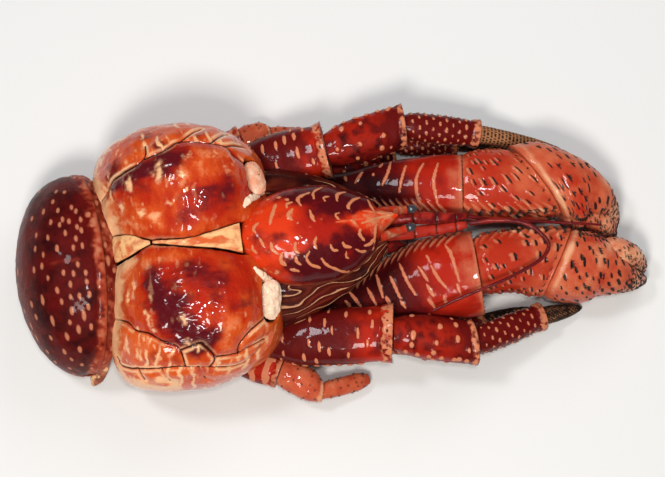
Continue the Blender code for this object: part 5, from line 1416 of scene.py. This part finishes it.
# The two arms. The merus and the carpus are given as share, half width, half height and shift; the hand and
# the finger as x, y, z, half width and half height. The stripes were read as the gill covers' marks were.
ARMS = {
    "right": {
        "joints": ((26.0, -28.6, 8.0), (97.4, -21.6, 18.6), (130.0, -22.8, 17.6)),
        "wrist": (0.857, -0.515, -0.05),
        "merus": (
            (0.0, 6.5, 4.4, 0.0), (0.14, 7.4, 5.6, 0.0), (0.28, 8.8, 7.4, 0.4), (0.48, 13.9, 11.0, 1.7),
            (0.7, 17.6, 13.6, 2.2), (0.88, 18.4, 14.8, 1.1), (1.0, 17.9, 14.4, 0.3)),
        "carpus": (
            (0.0, 11.8, 12.4, 2.8), (0.14, 12.9, 14.0, 4.0), (0.5, 13.4, 14.0, 4.2),
            (0.8, 14.2, 13.4, 2.8), (1.0, 13.6, 12.2, 1.6)),
        "hand": (
            (130.96, -21.2, 17.6, 14.4, 12.4), (136.0, -22.9, 16.6, 15.6, 14.6),
            (142.0, -24.4, 15.4, 15.4, 15.0), (148.5, -25.9, 14.4, 13.5, 13.6),
            (154.0, -28.6, 13.4, 9.6, 11.4), (159.0, -30.4, 11.4, 6.6, 8.4), (164.0, -31.4, 8.2, 4.4, 5.6),
            (168.0, -31.6, 4.6, 2.0, 2.8), (169.6, -31.4, 2.6, 0.7, 0.9)),
        "finger": (
            (151.5, -19.6, 17.2, 5.8, 6.4), (156.0, -19.8, 16.8, 6.4, 7.6), (161.0, -21.0, 15.0, 5.8, 7.0),
            (165.4, -23.4, 11.6, 4.3, 5.2), (168.2, -26.6, 6.8, 2.5, 3.0), (168.8, -28.4, 3.4, 0.7, 0.9)),
        "stripes": (
            ((40.1, -25.6, 16.6), (42, -29, 17.1)), ((42.3, -22.2, 16.5), (46.2, -29.1, 18.5)),
            ((49.8, -21.9, 19.7), (52.6, -29.7, 20.8)), ((54.5, -17.1, 19.6), (55.8, -27.2, 22.4)),
            ((60, -18.9, 23.3), (62.8, -28.6, 24.8)),
            ((64.6, -14, 22.9), (66.2, -20.8, 26.1), (69.3, -28.5, 26.8)),
            ((72.1, -16.9, 27), (75.2, -23.6, 28.9)), ((74.5, -25, 28.7), (76.7, -30.3, 28.2)),
            ((76, -12.3, 25), (77, -15.3, 28)),
            ((77.3, -17.3, 28.7), (79.4, -23.1, 29.9), (82.3, -27.7, 30.3)),
            ((84.5, -9.8, 27), (86.1, -13.8, 30.1), (87.8, -25.7, 31.8)),
            ((86.8, -26.7, 31.6), (87.8, -30.9, 30.4)), ((74.3, -31, 27.3), (76.8, -34.7, 25.7)),
            ((57.1, -27, 23.1), (58.4, -30.7, 22.7)), ((62.7, -29.7, 24.4), (64.7, -32.9, 23.7)),
            ((80.8, -30.4, 29.1), (81.5, -34.2, 27.6))),
    },
    "left": {
        "joints": ((26.0, 25.6, 8.0), (96.3, 17.6, 18.6), (127.5, 14.1, 17.6)),
        "wrist": (0.874, 0.485, -0.05),
        "merus": (
            (0.0, 6.0, 4.4, 0.0), (0.14, 6.4, 5.6, 0.0), (0.28, 7.2, 7.2, 0.0), (0.5, 10.6, 10.4, 0.0),
            (0.75, 12.9, 12.6, -0.6), (0.92, 14.0, 13.2, -1.2), (1.0, 13.8, 12.6, -1.4)),
        "carpus": (
            (0.0, 13.5, 12.0, -1.1), (0.16, 14.7, 13.2, -1.1), (0.5, 15.7, 13.8, -1.1),
            (0.8, 15.4, 13.4, -0.8), (1.0, 13.6, 12.2, -0.6)),
        "hand": (
            (127.83, 13.5, 17.6, 15.2, 13.0), (133.5, 12.2, 16.8, 16.5, 15.0),
            (140.5, 9.6, 15.6, 16.6, 15.4), (146.5, 7.4, 14.4, 14.0, 14.0), (151.0, 4.8, 13.2, 10.4, 11.8),
            (155.0, 1.4, 11.0, 7.0, 8.6), (158.0, -2.4, 8.0, 4.4, 5.8), (159.8, -6.0, 4.6, 2.0, 2.8),
            (160.2, -8.0, 2.6, 0.7, 0.9)),
        "finger": (
            (144.0, -1.0, 15.0, 5.0, 6.0), (148.5, -2.6, 14.2, 5.8, 7.0), (152.6, -5.2, 12.6, 5.0, 6.4),
            (156.0, -8.4, 9.6, 3.8, 4.8), (158.0, -11.0, 6.2, 2.2, 2.8), (158.4, -12.4, 3.4, 0.7, 0.9)),
        "stripes": (
            ((46.8, 27.6, 17.6), (47.3, 25.5, 18.7)), ((54.4, 28, 20), (50.8, 23.8, 20.2)),
            ((59.1, 26.3, 22.3), (58.6, 25.4, 22.5)), ((63.6, 30.5, 20.1), (61.8, 28.9, 21.5)),
            ((67.3, 30.9, 19.6), (64.9, 25.4, 24.1), (61.8, 20.3, 24)),
            ((72.9, 27.2, 25.3), (70.7, 22.3, 26.4), (68.4, 16.1, 25.3)),
            ((80.4, 27.1, 26.8), (76.9, 21.8, 28.1), (75.8, 16.5, 27.8), (76.1, 11.9, 25.9),
             (77.7, 8.7, 22.5)),
            ((86.4, 26, 28.3), (83.8, 19.9, 29.5), (83.2, 15.2, 29.2), (83.8, 9.6, 26.2))),
    },
}


# Degrees round an arm at which it faces the other arm.
INWARD = {"left": 180, "right": 0}
TUFT_SLANT = math.radians(-22)
ARM_STEP, FINGER_STEP = 0.45, 0.4


def make_claw(name):
    """The four parts of one arm, from the body to the movable finger."""
    arm = ARMS[name]
    shoulder, elbow, wrist = arm["joints"]
    planes = joint_planes(arm["joints"])
    make_claw_merus(name, Limb(shoulder, elbow, planes[0], planes[1], arm["merus"], ARM_STEP))
    make_claw_carpus(name, Limb(elbow, wrist, planes[1], arm["wrist"], arm["carpus"], ARM_STEP))
    make_hand(name, Spindle(arm["hand"], ARM_STEP, 2.3, arm["wrist"]))
    make_finger(name, Spindle(arm["finger"], FINGER_STEP))


def make_claw_merus(name, merus):
    """Light stripes across the top, a crest of slanted ridges and a glowing end with a pale rim."""
    side, inner = SIDES[name], INWARD[name]
    rough = layered_noise(merus.rings, 6, 41, 3)
    flat = np.array((1.0, 1.0, 0.12))
    lines = [[np.array(p) * flat for p in line] for line in ARMS[name]["stripes"]]
    stripes = painted(merus.rings * flat, lines, 0.7, 0.55, 0.25)
    stripes = stripes * soft_step(-0.3, 0.1, np.sin(merus.angle))
    below = merus.spots([(0.45 + 0.06 * i, 270 + 40 * (i % 3 - 1), 1.2) for i in range(8)], 0.6, 5.0)
    outer = merus.spots([(0.42 + 0.06 * i, inner + 180 + 18 * (i % 2), 1.1) for i in range(8)], 0.6, 2.6)
    crest = [(0.24 + 0.047 * i, inner + side * -34, 0.8 + 0.03 * i) for i in range(15)]
    edge = merus.spots(crest, 1.0, 4.6, side * 0.75)
    marks = np.maximum.reduce([stripes, below, outer])
    merus.push(0.12 * rough + 0.2 * marks + 0.75 * edge)
    bright = soft_step(0.46, 0.90, merus.share + 0.06 * rough)
    glow = soft_step(0.82, 0.99, merus.share + 0.03 * rough)
    shade = 0.25 * soft_step(0.1, 0.9, -np.sin(merus.angle * 2 + side)) * (1 - glow)
    merus.warm = 1.05 * bright + 0.3 * rough - shade
    merus.dark = 0.72 - 1.1 * bright + 0.40 * rough + shade
    rim = soft_step(0.955, 0.99, merus.share + 0.012 * rough)
    merus.pale = np.maximum.reduce([0.92 * marks, 0.72 * edge, 0.36 * glow + 0.2 * rough, 0.58 * rim])
    plant(merus, [(0.992, a, 1.0) for a in range(6, 360, 11)], 1.1, 0.12, 1.0, 3, 11, 0.3)
    plant(merus, crest, 1.3, 0.14, 0.9, 5, 12, side * 0.6)
    merus.piece(f"claw_{name}_merus_shell", FINISH["arm"], "leg", f"claw_{name}_merus", dish=2.0)


def make_claw_carpus(name, carpus):
    """Bumps with a tuft of bristles behind each, and a crest on the inner side."""
    side, inner = SIDES[name], INWARD[name]
    rough = layered_noise(carpus.rings, 6, 42, 3)
    places = scattered(90, 15 if side > 0 else 21, (0.1, 0), (0.92, 360), 0.076)
    bumps = carpus.spots([(s - 0.035, d, size) for s, d, size in places], 0.9, 1.6, 0.4)
    pits = carpus.spots(places, 0.6, 1.5, 0.4)
    crest = [(0.06 + 0.095 * i, inner + side * -38, 1.2) for i in range(10)]
    edge = carpus.spots(crest, 1.0, 3.6, side * 0.6)
    carpus.push(0.15 * rough + 0.40 * bumps - 0.25 * pits + 0.9 * edge)
    scallop = 0.022 * np.abs(np.sin(carpus.angle * 11))
    band = collar(carpus, 0.93 + scallop)
    centre = np.exp(-((carpus.share - 0.32) / 0.36) ** 2)
    carpus.warm = 0.62 + 0.35 * rough - 0.55 * centre + 0.4 * edge + 0.4 * band
    carpus.dark = 0.9 * pits
    carpus.pale = 0.30 * edge + 0.42 * bumps
    plant(carpus, places, 1.15, 0.30, 0.95, 9, 21, TUFT_SLANT, 1.0)
    plant(carpus, crest, 1.8, 0.20, 0.9, 7, 22, side * 0.5, 1.6)
    plant(carpus, [(0.93, 16.36 * k + 8, 0.9) for k in range(22)], 1.3, 0.18, 1.0, 6, 23, 0.5)
    carpus.piece(f"claw_{name}_carpus_shell", FINISH["claw"], "claw", f"claw_{name}_carpus", dish=1.5)


def make_hand(name, hand):
    """The palm and fixed finger: rings of tufts, a groove of bristles and a cream ridge at the wrist with a
    painted highlight on its top.
    """
    side, inner = SIDES[name], INWARD[name]
    rough = layered_noise(hand.rings, 6, 43, 3)
    chance = np.random.default_rng(17 if side > 0 else 18)
    places = []
    for row in range(13):
        count = 16 if row < 9 else 11
        for column in range(count):
            share = 0.10 + 0.058 * row + chance.uniform(-0.012, 0.012)
            degrees = (360 / count) * (column + 0.5 * (row % 2)) + chance.uniform(-7, 7)
            places.append((share, degrees, chance.uniform(0.7, 1.2)))
    places = [p for p in places if chance.uniform() > 0.12]
    bumps = hand.spots([(s - 0.03, d, size) for s, d, size in places], 0.8, 1.5, 0.4)
    pits = hand.spots(places, 0.6, 1.5, 0.4)
    ridge = np.exp(-((hand.share - 0.05) * hand.length / 1.6) ** 2)
    # Painted highlight: the wrist ridge's own cream is made whiter on its top, toward the inner side, where
    # a wet sheen falls.
    top = np.exp(-((np.degrees(hand.angle) - 90 - side * 18) / 30) ** 2)
    hand.push(0.15 * rough + 0.2 * bumps - 0.2 * pits + 0.5 * ridge)
    tip = soft_step(0.58, 0.80, hand.share + 0.04 * rough)
    root = np.array(ARMS[name]["finger"][0][:3]) + np.array((2.0, -side * 1.5, 3.0))
    skin = np.exp(-(np.linalg.norm((hand.rings - root) / (3.2, 5.5, 9.0), axis=2)) ** 2) * (side < 0)
    tip = np.maximum(tip, 1.3 * skin)
    hand.warm = 0.85 + 0.4 * rough - 0.35 * np.exp(-((hand.share - 0.35) / 0.16) ** 2)
    hand.pale = np.maximum.reduce([
        (0.42 + 0.55 * top) * ridge * (1 + 0.5 * rough), 0.62 * tip + 0.25 * tip * rough, 0.24 * bumps,
        0.14 + 0.3 * rough])
    hand.dark = 0.9 * pits
    plant(hand, places, 1.15, 0.30, 0.95, 9, 31, TUFT_SLANT, 1.0)
    groove = [(0.08 + 0.045 * k, inner + side * turn, 0.9) for k in range(16) for turn in (-22, -40, -8)]
    plant(hand, groove, 1.5, 0.19, 0.9, 7, 36, TUFT_SLANT, 1.6)
    fringe = scattered(300, 33, (0.62, 0), (0.97, 360), 0.020)
    plant(hand, fringe, 1.0, 0.2, 0.9, 4, 32, TUFT_SLANT, 1.5)
    hand.piece(f"claw_{name}_hand_shell", FINISH["claw"], "claw", f"claw_{name}_hand")


def make_finger(name, finger):
    """The movable finger, with blunt teeth on the side that bites."""
    side, inner = SIDES[name], INWARD[name]
    rough = layered_noise(finger.rings, 4, 44, 3)
    places = scattered(240, 34, (0.14, 0), (0.95, 360), 0.032)
    pits = finger.spots(places, 0.4, 0.8, 0.4)
    facing = (np.degrees(finger.angle) - (inner + 180) % 360) / 34
    cut = soft_step(0.3, 0.5, finger.share) * np.exp(-facing ** 2)
    teeth = cut * soft_step(-0.2, 0.5, np.sin(finger.share * finger.length * 2.2))
    finger.push(0.12 * rough - 0.12 * pits + 0.5 * teeth)
    finger.warm = 0.9 + 0.3 * rough
    finger.dark = 0.9 * pits * (1 - cut)
    finger.pale = (0.62 if side < 0 else 0.30) + 0.3 * rough + 0.4 * cut
    plant(finger, places, 0.9, 0.22, 0.9, 4, 35, TUFT_SLANT, 1.5)
    finger.piece(f"claw_{name}_finger_shell", FINISH["claw"], "claw", f"claw_{name}_finger")


# Head parts


# Root and end of each eyestalk, and the points of each feeler's stem.
EYESTALKS = {
    "left": ((57.2, 5.6, 43.0), (71.6, 5.8, 40.0)), "right": ((57.1, -4.6, 42.0), (70.1, -1.9, 40.0)),
}
EYE_RADIUS, EYE_LENGTH = 1.9, 2.3
FEELER_STEMS = {
    "left": ((60.35, 3.7, 34.4), (72.0, 3.0, 34.2), (82.0, 1.7, 33.4), (89.0, 1.4, 32.4),
        (94.7, 1.5, 31.0)),
    "right": (
        (60.35, -2.9, 32.8), (70.0, -2.8, 32.2), (80.0, -2.7, 31.4), (90.0, -2.6, 31.8),
        (94.6, -2.4, 32.4)),
}


def make_eyes():
    """Both eyestalks, each with its dark cornea at the end."""
    for name, ends in EYESTALKS.items():
        root, end = np.array(ends)
        stations = [(*(root + (end - root) * t), r, r) for t, r in (
            (0.0, 2.0), (0.2, 2.2), (0.5, 2.0), (0.7, 1.7), (0.86, 1.8))]
        stalk = Spindle(stations, 0.3)
        rough = layered_noise(stalk.rings, 2, 5, 3)
        stalk.push(0.15 * rough)
        stalk.warm = 0.25 + 0.6 * rough
        stalk.dark = 0.3 + 0.3 * rough
        stalk.pale = 0.1 + 0.4 * rough
        stalk.piece(f"eyestalk_{name}_shell", FINISH["claw"], "plate", f"eyestalk_{name}")
        centre = root + (end - root) * 1.03
        mesh = bpy.data.meshes.new(f"eye_{name}_cornea")
        shape = bmesh.new()
        way = Vector(unit(end - root))
        turn = Vector((0, 0, 1)).rotation_difference(way).to_matrix().to_4x4()
        stretch = Matrix.Diagonal((EYE_RADIUS * MM, EYE_RADIUS * MM, EYE_LENGTH * MM, 1.0))
        bmesh.ops.create_uvsphere(
            shape, u_segments=32, v_segments=20, radius=1.0,
            matrix=Matrix.Translation(Vector(centre) * MM) @ turn @ stretch)
        shape.to_mesh(mesh)
        shape.free()
        mesh.shade_smooth()
        mesh.materials.append(EYE)
        settle_piece(f"eye_{name}_cornea", mesh, "eye", f"eye_{name}")


def make_feeler_stems():
    """The thick jointed stems of the two feelers."""
    for name, points in FEELER_STEMS.items():
        radii = (1.8, 2.3, 2.1, 1.7, 1.2)
        stem = Spindle([(*p, r * 1.18, r) for p, r in zip(points, radii)], 0.3)
        rough = layered_noise(stem.rings, 3, 15, 3)
        joints = np.zeros(stem.share.shape)
        for at in (0.34, 0.62, 0.86):
            joints = np.maximum(joints, np.exp(-((stem.share - at) * stem.length / 0.5) ** 2))
        stem.push(0.1 * rough - 0.35 * joints)
        stem.warm = (0.85 if name == "right" else 0.35) + 0.5 * rough
        stem.dark = 0.3 * joints + 0.5 * soft_step(0.9, 1.0, stem.share)
        stem.seam = 0.7 * joints
        stem.piece(f"feeler_stem_{name}_shell", FINISH["feeler"], "plate", f"feeler_stem_{name}")


def make_mouthparts():
    """Two hairy rods under the rostrum."""
    for name, side in SIDES.items():
        stations = (
            (48.0, side * 5.0, 20.0, 2.8, 2.8), (56.0, side * 5.2, 19.0, 3.2, 3.2),
            (64.0, side * 4.4, 15.0, 2.7, 2.7), (69.0, side * 3.6, 9.0, 1.4, 1.4))
        mouth = Spindle(stations, 0.4)
        rough = layered_noise(mouth.rings, 3, 25, 3)
        mouth.push(0.2 * rough)
        mouth.warm = 0.3 + 0.5 * rough
        plant(mouth, scattered(60, 44, (0.3, 0), (0.98, 360), 0.06), 1.6, 0.1, 0.8, 3, 45)
        mouth.piece(f"mouthpart_{name}_shell", FINISH["feeler"], "plate", f"mouthpart_{name}")


def make_feelers():
    """The long feelers: fine rods of short beads, the right one bent back over its claw."""
    right = (
        (95.4, -2.3, 33.0), (107.9, -3.1, 36.6), (117.9, -5.9, 37.2), (123.9, -11.0, 37.2),
        (126.5, -16.4, 37.0), (123.2, -21.1, 37.0), (115.1, -25.1, 37.0), (103.7, -29.0, 37.0),
        (86.8, -33.3, 35.5), (74.8, -36.7, 32.0))
    left = (
        (95.6, 1.3, 31.2), (106.0, -1.6, 30.0), (119.0, -3.4, 29.2), (131.0, -5.6, 28.8),
        (142.0, -7.6, 29.0), (151.0, -9.4, 29.2))
    for name, path, thick, thin, nodes in (
        ("right", right, 1.05, 0.6, ("feeler_right_1", "feeler_right_2", "feeler_right_3")),
        ("left", left, 1.0, 0.5, ("feeler_left",)),
    ):
        points = curved(path, 4)
        radii = np.linspace(thick, thin, len(points))
        feeler = Spindle([(*p, r, r) for p, r in zip(points, radii)], 0.32, 2.0)
        beads = np.abs((feeler.share * feeler.length / 1.1) % 1 - 0.5) * 2
        feeler.push(-0.10 * soft_step(0.6, 1.0, beads))
        feeler.warm = 0.2 + 0.3 * lattice_noise(feeler.rings, 6, 3)
        feeler.piece(f"feeler_{name}_shell", FINISH["feeler"], "feeler", *nodes)


# Bristles


BRISTLE_SIDES, BRISTLE_TIP = 4, 0.15


def bristle_tree():
    """Puts a thin pointed bristle on each point, turned along its way and as long as its size."""
    tree = node_group(
        "bristles", "GeometryNodeTree", {"Geometry": "Geometry", "Sides": "Int", "Finish": "Material"},
        {"Geometry": "Geometry"})
    inside, outside = add_node(tree, "NodeGroupInput"), add_node(tree, "NodeGroupOutput")
    cone = add_node(
        tree, "GeometryNodeMeshCone", {"Radius Top": BRISTLE_TIP, "Radius Bottom": 1.0, "Depth": 1.0})
    way, size = (
        add_node(tree, "GeometryNodeInputNamedAttribute", {"Name": label}, data_type="FLOAT_VECTOR")
        for label in ("way", "size"))
    turn = add_node(tree, "FunctionNodeAlignRotationToVector", axis="Z")
    plant_them = add_node(tree, "GeometryNodeInstanceOnPoints")
    realise = add_node(tree, "GeometryNodeRealizeInstances")
    paint = add_node(tree, "GeometryNodeSetMaterial")
    wire(
        tree, (inside, "Geometry", plant_them, "Points"), (inside, "Sides", cone, "Vertices"),
        (cone, "Mesh", plant_them, "Instance"), (way, "Attribute", turn, "Vector"),
        (turn, "Rotation", plant_them, "Rotation"), (size, "Attribute", plant_them, "Scale"),
        (plant_them, "Instances", realise, "Geometry"), (realise, "Geometry", paint, "Geometry"),
        (inside, "Finish", paint, "Material"), (paint, "Geometry", outside, "Geometry"))
    return tree


def grow_bristles(name, roots):
    """One mesh with every bristle planted so far."""
    mesh = bpy.data.meshes.new(name + "_roots")
    mesh.from_pydata([tuple(root * MM) for root, _, _, _ in roots], [], [])
    ways = mesh.attributes.new("way", "FLOAT_VECTOR", "POINT")
    ways.data.foreach_set("vector", np.array([way for _, way, _, _ in roots], np.float32).ravel())
    sizes = mesh.attributes.new("size", "FLOAT_VECTOR", "POINT")
    sizes.data.foreach_set("vector", np.array(
        [(thick * MM, thick * MM, length * MM) for _, _, length, thick in roots], np.float32).ravel())
    source = bpy.data.objects.new(name + "_roots", mesh)
    bpy.context.scene.collection.objects.link(source)
    modifier = source.modifiers.new("bristles", "NODES")
    tree = bristle_tree()
    modifier.node_group = tree
    sockets = {item.name: item.identifier for item in tree.interface.items_tree if item.in_out == "INPUT"}
    modifier[sockets["Sides"]] = BRISTLE_SIDES
    modifier[sockets["Finish"]] = BRISTLE
    graph = bpy.context.evaluated_depsgraph_get()
    grown = bpy.data.meshes.new_from_object(source.evaluated_get(graph))
    bpy.data.objects.remove(source)
    grown.name = name
    for label in [a.name for a in grown.attributes if a.name in ("way", "size")]:
        grown.attributes.remove(grown.attributes[label])
    settle_piece(name, grown, "feeler")


def finish_underside():
    """The breast plate and the soft core keep their solids, in belly skin."""
    for node in ("breast", "abdomen_core"):
        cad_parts[node].material_slots[0].material = FINISH["belly"]


place_camera()
light_studio()
make_gill_cover("left")
make_gill_cover("right")
make_shield()
make_midline_plates()
make_corner_plates()
make_flanks()
make_abdomen()
make_walking_leg("leg_2_right", (1.0, 1.0), 51)
make_walking_leg("leg_2_left", (1.0, 1.0), 52)
make_walking_leg("leg_3_right", HIND_LEG_SIZE, 53, HIND_LEG_STEP)
make_walking_leg("leg_3_left", HIND_LEG_SIZE, 54, HIND_LEG_STEP)
make_small_leg("leg_4_right", 61)
make_small_leg("leg_4_left", 62)
make_claw("right")
make_claw("left")
make_eyes()
make_feeler_stems()
make_mouthparts()
make_feelers()
half = len(tufts) // 2
grow_bristles("bristles_1", tufts[:half])
grow_bristles("bristles_2", tufts[half:])
finish_underside()
